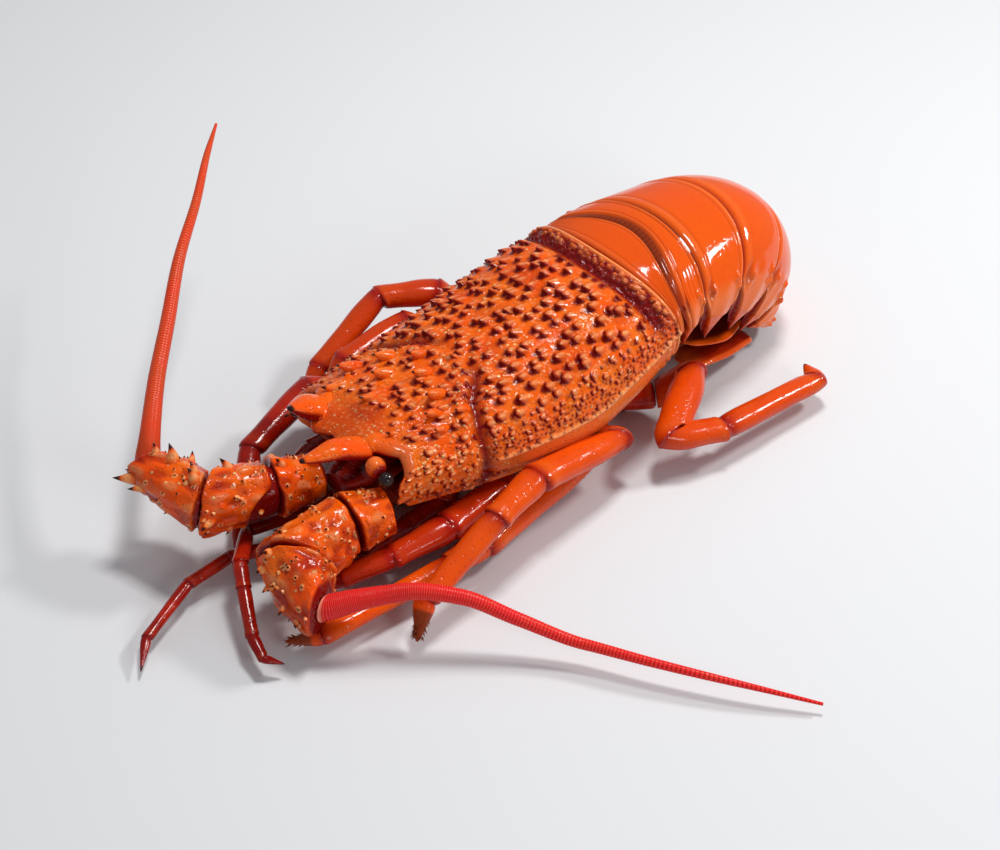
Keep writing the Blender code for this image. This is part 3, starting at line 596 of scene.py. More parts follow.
def cone_grid(foot, tip, radius, bend, rows, sides, belly=0.0):
    """A bent, hollow-sided spine as a grid of rings, with each row's share of the way to the tip."""
    foot, tip, bend = (np.asarray(p, float) for p in (foot, tip, bend))
    share = np.linspace(0, 1, rows) ** 0.8
    centres = foot + (tip - foot) * share[:, None] + bend * (4 * share * (1 - share))[:, None]
    facings = np.gradient(centres, axis=0)
    radii = radius * ((1 - share) ** (1.25 - belly) * 0.97 + 0.03 * (1 - share) + 0.004)
    return rings_round(centres, facings, radii, sides), share


# ---------------------------------------------------------------- materials


def fill(tree, node, inputs):
    """Gives a node its inputs, each of them a plain value or a socket to link."""
    for key, value in inputs.items():
        if isinstance(value, bpy.types.NodeSocket):
            tree.links.new(value, node.inputs[key])
        else:
            node.inputs[key].default_value = value


def place(tree, kind, inputs, **settings):
    """Adds a shader node with its settings and inputs."""
    node = tree.nodes.new(kind)
    for key, value in settings.items():
        setattr(node, key, value)
    fill(tree, node, inputs)
    return node


def math_node(tree, operation, a, b):
    """The outcome of an operation on two values."""
    return place(tree, "ShaderNodeMath", {0: a, 1: b}, operation=operation).outputs[0]


def spread_node(tree, value, low, high, to_low, to_high):
    """The value stretched from one range to another, and kept within it."""
    inputs = {"Value": value, 1: low, 2: high, 3: to_low, 4: to_high}
    return place(tree, "ShaderNodeMapRange", inputs).outputs[0]


def noise_node(tree, where, scale, detail):
    """Soft clouds at a scale."""
    inputs = {"Vector": where, "Scale": scale, "Detail": detail}
    return place(tree, "ShaderNodeTexNoise", inputs).outputs["Fac"]


def cell_node(tree, where, scale):
    """A pattern of cells, with the distance from each one's middle and a colour for each."""
    return place(tree, "ShaderNodeTexVoronoi", {"Vector": where, "Scale": scale}).outputs


def blend_colour(tree, share, a, b):
    """The blend of two colours."""
    return place(tree, "ShaderNodeMix", {0: share, 6: a, 7: b}, data_type="RGBA").outputs[2]


def object_places(tree):
    """Each point's place on its object."""
    return tree.nodes.new("ShaderNodeTexCoord").outputs["Object"]


def mask_node(tree, name):
    """One of the masks that the points carry."""
    node = place(tree, "ShaderNodeAttribute", {}, attribute_type="GEOMETRY", attribute_name=name)
    return node.outputs["Fac"]


def new_group(name, inputs, outputs):
    """An empty shader node group with its named inputs and outputs."""
    tree = bpy.data.node_groups.new(name, "ShaderNodeTree")
    for label, kind, default in inputs:
        socket = tree.interface.new_socket(label, in_out="INPUT", socket_type=kind)
        socket.default_value = default
    for label, kind in outputs:
        tree.interface.new_socket(label, in_out="OUTPUT", socket_type=kind)
    return tree, tree.nodes.new("NodeGroupInput"), tree.nodes.new("NodeGroupOutput")


MOTTLE_INPUTS = (
    ("Ground", "NodeSocketColor", (0.8, 0.1, 0.02, 1)),
    ("Second", "NodeSocketColor", (0.9, 0.3, 0.05, 1)),
    ("Freckle", "NodeSocketColor", (0.2, 0.01, 0.0, 1)),
    ("Cloud Scale", "NodeSocketFloat", 60.0),
    ("Cloud Amount", "NodeSocketFloat", 0.5),
    ("Freckle Scale", "NodeSocketFloat", 700.0),
    ("Freckle Amount", "NodeSocketFloat", 0.3),
    ("Gloss Low", "NodeSocketFloat", 0.15),
    ("Gloss High", "NodeSocketFloat", 0.35),
)
MOTTLE_OUTPUTS = (
    ("Color", "NodeSocketColor"),
    ("Roughness", "NodeSocketFloat"),
    ("Height", "NodeSocketFloat"),
)
SPECK_INPUTS = (
    ("Color", "NodeSocketColor", (0.8, 0.1, 0.02, 1)),
    ("Speck", "NodeSocketColor", (0.9, 0.5, 0.2, 1)),
    ("Scale", "NodeSocketFloat", 600.0),
    ("Amount", "NodeSocketFloat", 0.0),
)
SPECK_OUTPUTS = (("Color", "NodeSocketColor"), ("Height", "NodeSocketFloat"))


def mottle_group():
    """Cloudy change of a colour towards a second one, with fine dark freckles, and uneven wetness."""
    made = bpy.data.node_groups.get("shell mottle")
    if made:
        return made
    tree, given, out = new_group("shell mottle", MOTTLE_INPUTS, MOTTLE_OUTPUTS)
    given = given.outputs
    where = object_places(tree)
    cloud = noise_node(tree, where, given["Cloud Scale"], 4.0)
    spread = spread_node(tree, cloud, 0.38, 0.66, 0.0, 1.0)
    share = math_node(tree, "MULTIPLY", spread, given["Cloud Amount"])
    colour = blend_colour(tree, share, given["Ground"], given["Second"])
    cells = cell_node(tree, where, given["Freckle Scale"])
    dots = spread_node(tree, cells["Distance"], 0.12, 0.34, 1.0, 0.0)
    dot_share = math_node(tree, "MULTIPLY", dots, given["Freckle Amount"])
    colour = blend_colour(tree, dot_share, colour, given["Freckle"])
    fine = noise_node(tree, where, 420.0, 3.0)
    gloss = spread_node(tree, fine, 0.3, 0.7, given["Gloss Low"], given["Gloss High"])
    pit = math_node(tree, "MULTIPLY", dots, -1.0)
    height = math_node(tree, "ADD", pit, math_node(tree, "MULTIPLY", fine, 0.6))
    fill(tree, out, {"Color": colour, "Roughness": gloss, "Height": height})
    return tree


def speck_group():
    """Small pale grains in a share of the cells of a fine pattern, with their height."""
    made = bpy.data.node_groups.get("pale specks")
    if made:
        return made
    tree, given, out = new_group("pale specks", SPECK_INPUTS, SPECK_OUTPUTS)
    given = given.outputs
    cells = cell_node(tree, object_places(tree), given["Scale"])
    luck = place(tree, "ShaderNodeSeparateColor", {"Color": cells["Color"]}).outputs[0]
    chosen = math_node(tree, "LESS_THAN", luck, given["Amount"])
    dot = spread_node(tree, cells["Distance"], 0.2, 0.38, 1.0, 0.0)
    share = math_node(tree, "MULTIPLY", dot, chosen)
    colour = blend_colour(tree, share, given["Color"], given["Speck"])
    fill(tree, out, {"Color": colour, "Height": share})
    return tree


def tip_group():
    """Turns a colour red by one mask, pale by a second and dark by a third, as on thorns and joints; the
    masks also carry painted shade and painted highlights.
    """
    made = bpy.data.node_groups.get("red skin, pale crests and dark tips")
    if made:
        return made
    colours = (
        ("Color", (0.8, 0.1, 0.02, 1)), ("Red", (0.3, 0.01, 0.005, 1)),
        ("Pale", (0.9, 0.5, 0.2, 1)), ("Dark", (0.05, 0.0, 0.0, 1)),
    )
    inputs = [(label, "NodeSocketColor", default) for label, default in colours]
    inputs += [(label + " Mask", "NodeSocketFloat", 0.0) for label, _ in colours[1:]]
    tree, given, out = new_group(
        "red skin, pale crests and dark tips", inputs, (("Color", "NodeSocketColor"),)
    )
    colour = given.outputs["Color"]
    for label, _ in colours[1:]:
        colour = blend_colour(tree, given.outputs[label + " Mask"], colour, given.outputs[label])
    tree.links.new(colour, out.inputs["Color"])
    return tree


def finish(name, colours, settings):
    """A wet shell finish: mottled ground with specks, red, pale and dark masks, and uneven gloss.

    The colours are those of the ground, its clouds, red skin, pale crests and dark tips; the red, pale and
    dark ones also paint shade and highlights where the masks put them.
    """
    material = bpy.data.materials.get(name)
    if material:
        return material
    material = bpy.data.materials.new(name)
    material.use_nodes = True
    tree = material.node_tree
    shader = tree.nodes["Principled BSDF"]
    ground, second, red, pale, dark = ((*colour[:3], 1.0) for colour in colours)
    given = {"Ground": ground, "Second": second, "Freckle": dark}
    given.update({key: settings[key] for key in MOTTLE_SETTINGS})
    mottle = place(tree, "ShaderNodeGroup", given, node_tree=mottle_group()).outputs
    given = {"Color": mottle["Color"], "Speck": (*CREAM, 1.0), "Scale": settings["Speck Scale"]}
    given["Amount"] = mask_node(tree, "speck")
    specks = place(tree, "ShaderNodeGroup", given, node_tree=speck_group()).outputs
    given = {"Color": specks["Color"]}
    for label, colour in (("Red", red), ("Pale", pale), ("Dark", dark)):
        given.update({label: colour, label + " Mask": mask_node(tree, label.lower())})
    tips = place(tree, "ShaderNodeGroup", given, node_tree=tip_group()).outputs
    height = math_node(tree, "ADD", mottle["Height"], specks["Height"])
    relief = {"Height": height, "Strength": settings["Bump"], "Distance": settings["Depth"]}
    normal = place(tree, "ShaderNodeBump", relief).outputs["Normal"]
    fill(tree, shader, {
        "Base Color": tips["Color"], "Roughness": mottle["Roughness"], "Normal": normal,
        "Coat Weight": settings["Coat"], "Coat Roughness": COAT_ROUGHNESS,
        "Specular IOR Level": settings["Shine"],
    })
    return material


MOTTLE_SETTINGS = (
    "Cloud Scale", "Cloud Amount", "Freckle Scale", "Freckle Amount", "Gloss Low", "Gloss High",
)
SETTINGS = (*MOTTLE_SETTINGS, "Speck Scale", "Bump", "Depth", "Coat", "Shine")


def settings_of(*values):
    """A finish's settings, in the order of their names in SETTINGS."""
    return dict(zip(SETTINGS, values))


SHELL_FINISH = settings_of(75.0, 0.6, 620.0, 0.03, 0.04, 0.22, 540.0, 0.6, 0.0005, 0.04, 0.22)
TAIL_FINISH = settings_of(30.0, 0.5, 420.0, 0.08, 0.03, 0.11, 500.0, 0.12, 0.0003, 0.12, 0.26)
LEG_FINISH = settings_of(55.0, 0.7, 500.0, 0.2, 0.08, 0.22, 500.0, 0.3, 0.0003, 0.05, 0.24)
WHIP_FINISH = settings_of(90.0, 0.5, 900.0, 0.1, 0.16, 0.3, 900.0, 0.2, 0.0002, 0.0, 0.14)
SKIN_FINISH = settings_of(80.0, 0.6, 500.0, 0.1, 0.1, 0.28, 600.0, 0.5, 0.0005, 0.08, 0.28)
COAT_ROUGHNESS = 0.05
EYE_COAT = 0.3
EYE_COAT_ROUGHNESS = 0.02

# Colours of the masks. Besides real crests, grains, skin and tips, the pale ones also paint highlights and
# the red and dark ones paint shade, where the masks put them.
CREAM = (0.92, 0.55, 0.22)
# PINK is also the painted highlight on the whips' ring crests.
PINK = (0.9, 0.3, 0.2)
BLACK_TIP = (0.02, 0.004, 0.002)
SHELL_CLOUD = (0.84, 0.18, 0.008)
SPINE_CLOUD = (0.86, 0.17, 0.006)
TAIL_CLOUD = (0.8, 0.072, 0.003)
TAIL_PALE = (0.95, 0.33, 0.1)
# Also painted as shade round the tail's side plates and inside the fan's leaves.
TAIL_DARK = (0.06, 0.006, 0.002)
RED_LEG_CLOUD = (0.6, 0.025, 0.005)
# Also a painted highlight at each knuckle of the red limbs.
RED_LEG_PALE = (0.8, 0.12, 0.01)
RED_LEG_DARK = (0.03, 0.003, 0.002)
ORANGE_LEG_CLOUD = (0.8, 0.07, 0.004)
# Also painted as shade on the undersides of the orange legs.
ORANGE_LEG_SKIN = (0.42, 0.008, 0.003)
# Also a painted highlight at each knuckle of the orange legs.
ORANGE_LEG_PALE = (0.95, 0.3, 0.03)
ORANGE_LEG_DARK = (0.1, 0.02, 0.006)
WHIP_CLOUD = (0.95, 0.04, 0.015)
WHIP_DARK = (0.3, 0.003, 0.004)
MEMBRANE_CLOUD = (0.5, 0.02, 0.008)
# Lighter red painted as highlights on the face's fold crests.
MEMBRANE_RED = (0.7, 0.05, 0.01)
# Painted shade in the face's fold valleys.
MEMBRANE_DARK = (0.03, 0.001, 0.001)
EYE_CLOUD = (0.03, 0.012, 0.01)
EYE_DARK = (0.002, 0.002, 0.002)


def own_colours():
    """The colours set in the panel."""
    return bpy.context.scene.lobster_colours


def shell_finish():
    """The back shell: orange, with pale crests and dark thorn tips, and the painted highlights and painted
    shade that its pale and dark masks carry.
    """
    own = own_colours()
    colours = (own.shell, SHELL_CLOUD, own.membrane, own.shell_pale, own.shell_dark)
    return finish("cooked shell", colours, SHELL_FINISH)


def spine_finish():
    """The horns, eye stalks and feeler bases: orange red, with black tips."""
    own = own_colours()
    return finish("spiny shell", (own.spine, SPINE_CLOUD, own.membrane, CREAM, BLACK_TIP), SHELL_FINISH)


def tail_finish():
    """The tail's smooth orange shell."""
    own = own_colours()
    return finish("tail shell", (own.tail, TAIL_CLOUD, own.membrane, TAIL_PALE, TAIL_DARK), TAIL_FINISH)


def leg_finish():
    """Deep red legs."""
    own = own_colours()
    colours = (own.leg_deep, RED_LEG_CLOUD, own.membrane, RED_LEG_PALE, RED_LEG_DARK)
    return finish("red leg shell", colours, LEG_FINISH)


def orange_leg_finish():
    """Bright orange legs."""
    colours = (own_colours().leg, ORANGE_LEG_CLOUD, ORANGE_LEG_SKIN, ORANGE_LEG_PALE, ORANGE_LEG_DARK)
    return finish("orange leg shell", colours, LEG_FINISH)


def whip_finish(side):
    """The whips' red rings, of another red on each side."""
    own = own_colours()
    ground = {"left": own.whip_left, "right": own.whip_right}[side]
    return finish("whip shell " + side, (ground, WHIP_CLOUD, own.membrane, PINK, WHIP_DARK), WHIP_FINISH)


def membrane_finish():
    """Dark red soft skin."""
    colours = (own_colours().membrane, MEMBRANE_CLOUD, MEMBRANE_RED, CREAM, MEMBRANE_DARK)
    return finish("joint skin", colours, SKIN_FINISH)


def eye_finish():
    """The eyes' wet black."""
    black = own_colours().eye
    material = finish("eye", (black, EYE_CLOUD, black, CREAM, EYE_DARK), SKIN_FINISH)
    shader = material.node_tree.nodes["Principled BSDF"]
    shader.inputs["Coat Weight"].default_value = EYE_COAT
    shader.inputs["Coat Roughness"].default_value = EYE_COAT_ROUGHNESS
    return material


# ---------------------------------------------------------------- the back shell


def shell_point(y, across, inset=0.0):
    """Points of the back shell; across runs from -1 at the right rim to 1 at the left."""
    turn = across * RIM_TURN
    widest = smooth(RIM_HEIGHT, y) + WIDEST_OVER_RIM
    upright = rounded(np.cos(turn))
    over = widest + (smooth(BACK_TOP, y) - inset - widest) * upright
    under = widest + (WIDEST_OVER_RIM - inset) * upright / abs(rounded(math.cos(RIM_TURN)))
    x = smooth(BACK_SHIFT, y) + (smooth(BACK_HALF_WIDTH, y) - inset) * rounded(np.sin(turn))
    return np.stack(np.broadcast_arrays(x, y, np.where(upright >= 0, over, under)), -1)


def rear_edge(x):
    """Place along Y of the shell's rear edge, which sweeps back towards its sides."""
    return REAR_EDGE_MIDDLE + REAR_EDGE_SWEEP * (x / REAR_HALF_WIDTH) ** 2


def shell_place(share, across):
    """Place along Y of a point, share running from the front edge (0) to the rear edge (1)."""
    front = smooth(FRONT_EDGE, np.abs(across))
    rear = rear_edge(shell_point(np.full(np.shape(across), REAR_EDGE_MIDDLE), across)[..., 0])
    return front + (rear - front) * share


def thorn_field(y, v, size, spacing, seed):
    """Rise and lean of forward leaning thorns from 0 to 1: dark fronts, partly own colour and partly
    painted shade, with a painted shadow ahead of each; pale crests, partly a painted highlight; red bodies.
    """
    du, dv, luck = scatter(y, v, (spacing * 1.12, spacing * 0.9), 0.75, seed)
    size = size * (0.62 + 0.55 * luck)
    keen = 0.45 + 0.55 * size
    reach = np.where(du < 0, 2.1, 5.0) * keen * spacing / THORN_PITCH
    wide = 2.7 * keen * spacing / THORN_PITCH
    body = np.clip(1 - np.sqrt((du / reach) ** 2 + (dv / wide) ** 2), 0, 1)
    there = ramp(size, 0.08, 0.3)
    # The thorn's front face is dark: partly its own colour, partly painted shade.
    front = ramp(0.7 - du, 0, 0.9)
    # A painted shadow that each thorn casts ahead of it.
    shade = np.clip(1 - np.sqrt(((du + 2.1) / 2.3) ** 2 + (dv / 2.2) ** 2), 0, 1) * (du < 0)
    dark = np.clip(front * ramp(body, 0.04, 0.22) + 1.8 * shade * size, 0, 1)
    # Pale crest: partly its own colour, partly a painted highlight.
    pale = ramp(body, 0.2, 0.55) * ramp(du, 0.5, 1.2) * bell(dv, 2.2)
    red = ramp(body, 0.1, 0.45) * (1 - ramp(du, 1.5, 4.0))
    return size * body**1.1, size * body**1.5, dark * there, pale * there, red * there


def granules(y, v, spacing, radius, seed, share):
    """Low round grains on a share of the spots: their height from 0 to 1, and each one's chance."""
    du, dv, luck = scatter(y, v, (spacing, spacing), 0.8, seed)
    distance = np.sqrt(du**2 + dv**2) / (radius * (0.6 + 0.6 * luck))
    return np.sqrt(np.clip(1 - distance**2, 0, 1)) * (luck < share), luck


def shell_zones(y, v, side, ahead_of_rear):
    """Where each kind of relief lies on the back shell, as fields from 0 to 1."""
    neck = y - smooth(NECK_GROOVE, side) + 1.1 * waves(v, y, 5.0, 2)
    zone = types.SimpleNamespace(y=y, v=v, side=side, neck=neck, ahead=ahead_of_rear)
    zone.groove = bell(neck, 7.0) * ramp(side, *GROOVE_ACROSS)
    zone.brow = ramp(y, *BROW_ALONG)
    zone.band = ramp(side, *BAND_ACROSS) * ramp(y, *BAND_ALONG)
    zone.fade = np.clip((FADE_FROM - side) / FADE_SPAN, 0, 1)
    zone.flank = ramp(side, *FLANK_ACROSS)
    below = 1 - ramp(side, *CHEEK_LOW_EDGE)
    zone.cheek = (1 - ramp(neck, *CHEEK_BEHIND)) * ramp(side, *CHEEK_ACROSS) * below
    near_groove = bell(neck + 6, 9) + bell(neck - 6, 7)
    crowd = bell(np.hypot(y, v - 12), 22) + near_groove + bell(np.hypot(y + 41, v - 42), 14)
    cheek_crowd = 0.6 * (y < -30) * ramp(side, *CROWD_ACROSS) * (1 - ramp(side, *CROWD_LOW_EDGE))
    zone.crowd = np.clip(np.clip(crowd, 0, 1) + cheek_crowd, 0, 1)
    return zone


def shell_thorns(zone, spacing):
    """Great thorns of the back with small ones on the flanks: rise, lean, dark, pale and red."""
    bare = zone.brow * (1 - zone.cheek) + zone.cheek * ramp(zone.y, *CHEEK_ALONG)
    thorny = ramp(zone.ahead, HIND_GROOVE_AHEAD + 1.5, HIND_GROOVE_AHEAD + 4.5)
    thorny = np.where(zone.side > FADE_FROM, 1.0, thorny)
    great = (1 - zone.flank) * thorny * (1 - 0.85 * zone.groove) * zone.brow
    great = great * (1 - 0.35 * ramp(-zone.neck, 0, 6))
    small = zone.flank * (1 - zone.band) * thorny * (1 - 0.85 * zone.groove) * bare
    small = small * (0.62 - 0.3 * ramp(zone.side, 0.6, 0.78) * (1 - zone.cheek))
    great = thorn_field(zone.y, zone.v, great, spacing, THORN_SEEDS[0])
    shifted = zone.y + SMALL_THORN_SHIFT
    small = thorn_field(shifted, zone.v, small, spacing * SMALL_THORN_SHARE, THORN_SEEDS[1])
    higher = small[0] > great[0]
    return [np.where(higher, b, a) for a, b in zip(great, small)]


def shell_grains(zone, rise):
    """Fine forms of the back shell between its thorns, and its painted glints, as fields from 0 to 1."""
    y, v, side = zone.y, zone.v, zone.side
    fine = types.SimpleNamespace()
    fine.beads = granules(y, v, *BEADS)[0] * (1 - zone.band) * (rise < 0.12) * ramp(zone.ahead, 10, 13)
    fine.fringe, fine.luck = granules(y, v, *FRINGE)
    fine.in_fringe = ramp(9.6 - zone.ahead, 0, 1.6) * ramp(zone.ahead, 1.8, 2.6) * (0.35 + 0.65 * zone.fade)
    pitted = ramp(side, *PITS_ACROSS) * (1 - zone.band) * (rise < 0.2) * ramp(zone.neck, 1, 4)
    fine.pits = granules(y, v, *PITS)[0] * pitted
    fine.ridge = bell(side - RIDGE_AT, 0.035) * ramp(y, -34, -20)
    fine.seam = bell(side - SEAM_AT, 0.07) * (1 - ramp(y, -25, -15))
    fine.seam_beads = granules(y, v, *SEAM_BEADS)[0]
    # Painted highlights: pale glints of light, stronger on the thorns.
    fine.glint = granules(y, v, *GLINTS)[0] * (1 - 0.6 * zone.band) * (0.5 + 0.5 * (rise > 0.1))
    return fine


def shell_height(zone, fine, thorns):
    """The rise of the back shell in millimetres: thorns, beads, grooves, fringe, pits and seam."""
    height = thorns + fine.beads * (0.18 + 0.5 * zone.crowd)
    height = height - 1.7 * bell(zone.neck, 5.5) * (0.35 + 0.65 * ramp(zone.side, 0.0, 0.2))
    height = height + 0.8 * bell(zone.neck + 5.5, 5.0) * (1 - zone.band)
    height = height - 2.0 * zone.fade * bell(zone.ahead - HIND_GROOVE_AHEAD, 6.0)
    height = height + fine.fringe * fine.in_fringe * 1.4
    height = height + 0.5 * bell(zone.ahead - 1.0, 1.8) - 0.4 * bell(zone.ahead - 2.1, 0.9)
    height = height - fine.pits * 0.35 + fine.ridge
    height = height + 1.2 * bell(zone.side - KEEL_AT, 0.2) * ramp(-zone.y, 56, 63)
    return height - 0.9 * fine.seam + 1.1 * fine.seam_beads * ramp(fine.seam, 0.2, 0.6)


def shell_dark_mask(zone, fine, dark):
    """Dark thorn fronts with their painted shade and painted shadows, and the grooves, pits, fringe and
    seam.
    """
    dark = dark + 0.95 * bell(zone.neck, 5.6) * ramp(zone.side, *GROOVE_ACROSS) + fine.pits * 0.85
    dark = dark + zone.fade * bell(zone.ahead - HIND_GROOVE_AHEAD + 0.3, 5.4) * 1.2
    dark = dark + fine.in_fringe * (1 - fine.fringe) * zone.fade + 0.6 * bell(zone.ahead - 2.0, 0.8)
    return dark + 0.95 * fine.seam * (1 - ramp(fine.seam_beads, 0.2, 0.6))


def shell_pale_mask(zone, fine, pale):
    """Pale thorn crests with their painted highlights, the painted glints, and the beads, fringe, side band
    and rear edge.
    """
    pale = pale * (0.5 + 0.3 * zone.flank + 0.5 * zone.cheek)
    pale = pale + fine.beads * (0.25 + 0.6 * zone.crowd) + fine.glint
    pale = pale + fine.fringe * fine.in_fringe * (0.05 + 0.8 * fine.luck**2)
    return pale + zone.band * 0.16 + 0.7 * fine.ridge + 0.6 * bell(zone.ahead - 0.9, 1.2)


def shell_relief(y, v, across, ahead_of_rear, size, spacing):
    """Rise and forward lean of the whole back shell in millimetres, and its four masks."""
    zone = shell_zones(y, v, np.abs(across), ahead_of_rear)
    rise, lean, dark, pale, body = shell_thorns(zone, spacing)
    fine = shell_grains(zone, rise)
    red = (1 - zone.brow) * bell(zone.side, 0.5) * 0.45 + 0.3 * ramp(waves(y, v, 7.0, 5), 0.1, 0.7)
    masks = {
        "dark": shell_dark_mask(zone, fine, dark),
        "pale": shell_pale_mask(zone, fine, pale),
        "red": red + 0.4 * body + 0.2 * fine.in_fringe * (1 - 0.5 * fine.fringe),
        "speck": 0.05 + 0.22 * zone.crowd + 0.16 * (1 - zone.brow) - 0.04 * zone.band,
    }
    height = shell_height(zone, fine, rise * size)
    return height, lean * size * 0.95, {name: np.clip(mask, 0, 1) for name, mask in masks.items()}


def shell_grid():
    """The bare back shell's points, with each one's places on it and distances from its edges."""
    share = np.linspace(0, 1, SHELL_ROWS)[:, None]
    across = np.linspace(-1, 1, SHELL_COLUMNS)[None, :]
    y = shell_place(share, across)
    across = np.broadcast_to(across, y.shape)
    base = shell_point(y, across)
    steps = np.linalg.norm(np.diff(base, axis=1), axis=-1)
    v = np.concatenate([np.zeros((SHELL_ROWS, 1)), np.cumsum(steps, axis=1)], axis=1)
    v = v - 0.5 * (v[:, SHELL_COLUMNS // 2 - 1] + v[:, SHELL_COLUMNS // 2])[:, None]
    return base, y, v, across, shell_place(1, across) - y, y - shell_place(0, across)


def close_under(ring, share):
    """The underside of a ring, from its left rim level to its right rim."""
    left, right = ring[-1], ring[0]
    steps = np.linspace(0, 1, SHELL_UNDER_COLUMNS + 2)[1:-1, None]
    under = left + (right - left) * steps
    under[:, 1] += share**4 * (rear_edge(under[:, 0]) - rear_edge(left[0]))
    return np.concatenate([ring, under])


def shell_recess(side):
    """The open front's rings, from the floor of the recess out to the lip."""
    front = shell_place(0, side)
    inner = [
        close_under(shell_point(front + LIP * drop, side, LIP * inset), 0)
        for drop, inset in ((0.02, 0.45), (0.15, 0.8), (0.5, 1.0))
    ]
    floor = close_under(shell_point(np.full(side.shape, FRONT_FLOOR), side, LIP), 0)
    walls = [inner[-1] + (floor - inner[-1]) * s for s in (0.33, 0.66, 1.0)]
    return (inner + walls)[::-1]


def shell_rear(ring):
    """Rings that close the shell's rear, drawn in from its last ring."""
    middle = (0, 0, SHELL_MIDDLE_HEIGHT)
    rear = []
    for s in (0.97, 0.8, 0.55, 0.3):
        drawn = middle + (ring - middle) * s
        drawn[:, 1] = rear_edge(drawn[:, 0])
        rear.append(drawn)
    return rear


def extend_mask(mask, rings, values):
    """A mask drawn out over the underside, where it is 0, and over the rings ahead and behind."""
    mask = np.concatenate([mask, np.zeros((SHELL_ROWS, SHELL_UNDER_COLUMNS))], axis=1)
    before, after = (np.full((n, mask.shape[1]), value) for n, value in zip(rings, values))
    return np.concatenate([before, mask, after])


def add_shell(skin, sizes):
    """The back shell: thorny skin, level underside, front recess and closed rear."""
    base, y, v, across, ahead_of_rear, from_front = shell_grid()
    thorn_height, thorn_spacing = sizes.thorn_height / MM, sizes.thorn_spacing / MM
    height, lean, masks = shell_relief(y, v, across, ahead_of_rear, thorn_height, thorn_spacing)
    settle = ramp(from_front, 0, 1.2) * ramp(1 - np.abs(across), 0, 0.02) * ramp(ahead_of_rear, -0.1, 0.3)
    outward = normals_of(base)
    outward = outward * np.sign((outward * (base - SHELL_HEART)).sum(-1))[..., None]
    grid = base + outward * (height * settle)[..., None]
    grid[..., 1] -= lean * settle
    rings = [close_under(ring, share) for ring, share in zip(grid, np.linspace(0, 1, SHELL_ROWS))]
    recess, rear = shell_recess(across[0]), shell_rear(rings[-1])
    counts = (len(recess), len(rear))
    masks = {name: extend_mask(mask, counts, SHELL_END_MASKS[name]) for name, mask in masks.items()}
    skin.sheet(np.stack(recess + rings + rear), **masks)


def on_shell(place_y, across):
    """A point of the back shell and its outward direction."""
    y, a = np.array([place_y, place_y + 0.5, place_y]), np.array([across, across, across + 0.01])
    here, behind, beside = shell_point(y, a)
    out = unit(np.cross(behind - here, beside - here))
    return here, out if (out * (here - SHELL_HEART)).sum() > 0 else -out


def add_brow(skin, places, ahead, radii):
    """Rounded ridge that rims the eye's notch and runs out into a broad horn, with red painted as shade
    under it and a painted highlight along its rim.
    """
    route = []
    for (place_y, across), radius in zip(places, radii):
        here, out = on_shell(place_y, across)
        route.append(here - out * BROW_SINK * radius)
    route += [np.asarray(p, float) for p in ahead]
    share = np.linspace(0, 1, BROW_ROWS)
    centres = along(route, share)
    thick = smooth(tuple(zip(np.linspace(0, 1, len(radii)), radii)), share)
    turns = angles(BROW_SIDES)
    bulk = thick[:, None] * (1 + 0.04 * waves(share[:, None] * 60, turns * 4, 4.0, 6))
    grid = rings_round(centres, np.gradient(centres, axis=0), bulk, BROW_SIDES, BROW_FLATNESS)
    # Red painted as shade on the ridge's underside.
    under = ramp(-np.sin(turns), -0.35, 0.15)[None, :] * ramp(share, 0.0, 0.3)[:, None]
    tip = ramp(share, 0.97, 0.985)[:, None]
    rim = (1 - ramp(share, 0.3, 0.5))[:, None]
    red = np.maximum(under, 0.5 * rim) * (1 - tip)
    # A painted highlight along the top of the rim.
    skin.sheet(grid, dark=tip, red=red, pale=0.1 * rim * (1 - under), speck=0.06)


def add_horns(skin):
    """The two horns with their rims, the great spines and the lesser blunt ones."""
    for places, ahead, radii in BROWS:
        add_brow(skin, places, ahead, radii)
    for foot, tip, radius, bend in HEAD_SPINES:
        add_blunt_spine(skin, foot, tip, radius, bend)
    for place_y, across, length, radius in BLUNT_SPINES:
        foot, out = on_shell(place_y, across)
        tip = foot + out * length * 0.5 + np.array((0, -0.95 * length, 0))
        add_blunt_spine(skin, foot - out * 1.6, tip, radius, out * 0.5)


def add_blunt_spine(skin, foot, tip, radius, bend):
    """A stout spine of the head with a dark tip and a painted highlight round its middle."""
    grid, share = cone_grid(foot, tip, radius, bend, rows=24, sides=20, belly=0.3)
    dark = ramp(share, 0.8, 0.89)[:, None]
    skin.sheet(grid, dark=dark, pale=(0.12 * bell(share - 0.6, 0.35))[:, None] * (1 - dark))


# ---------------------------------------------------------------- limbs


LINK_PROFILE = (
    (0, 0.88), (0.03, 0.9), (0.09, 0.95), (0.3, 0.98), (0.6, 0.96), (0.84, 0.98),
    (0.945, 1.01), (0.985, 0.98), (1, 0.88),
)
LAST_LINK_PROFILE = ((0, 0.8), (0.08, 0.94), (0.2, 0.96), (0.6, 0.74), (0.88, 0.48), (1, 0.2))
LINK_ROWS = 44
LIMB_SIDES = 32
BRISTLES = 90


def limb_link(ends, sizes, ways, n, last):
    """One link's rings: centres, facings, radii, shares, skin at its joints and way along the limb."""
    start, end = ends
    before, ahead, after = ways
    share = np.linspace(0, 1, LINK_ROWS)
    lead = ramp(share, 0, 0.45)[:, None]
    close = ramp(share, 0.8, 1.0)[:, None]
    facing = before * (1 - lead) + ahead * lead
    facing = facing * (1 - close) + after * close
    outermost = n == last - 1
    profile = smooth(LAST_LINK_PROFILE if outermost else LINK_PROFILE, share)
    thick = (sizes[0] + (sizes[1] - sizes[0]) * share) * profile
    far_end = np.exp(-(1 - share) * LINK_ROWS / 1.6) * (not outermost)
    joint = np.exp(-share * LINK_ROWS / 3.0) * (n > 0) + far_end
    run = np.linalg.norm(end - start) * share + 40 * n
    return start + (end - start) * share[:, None], facing, thick, n + share, joint, run


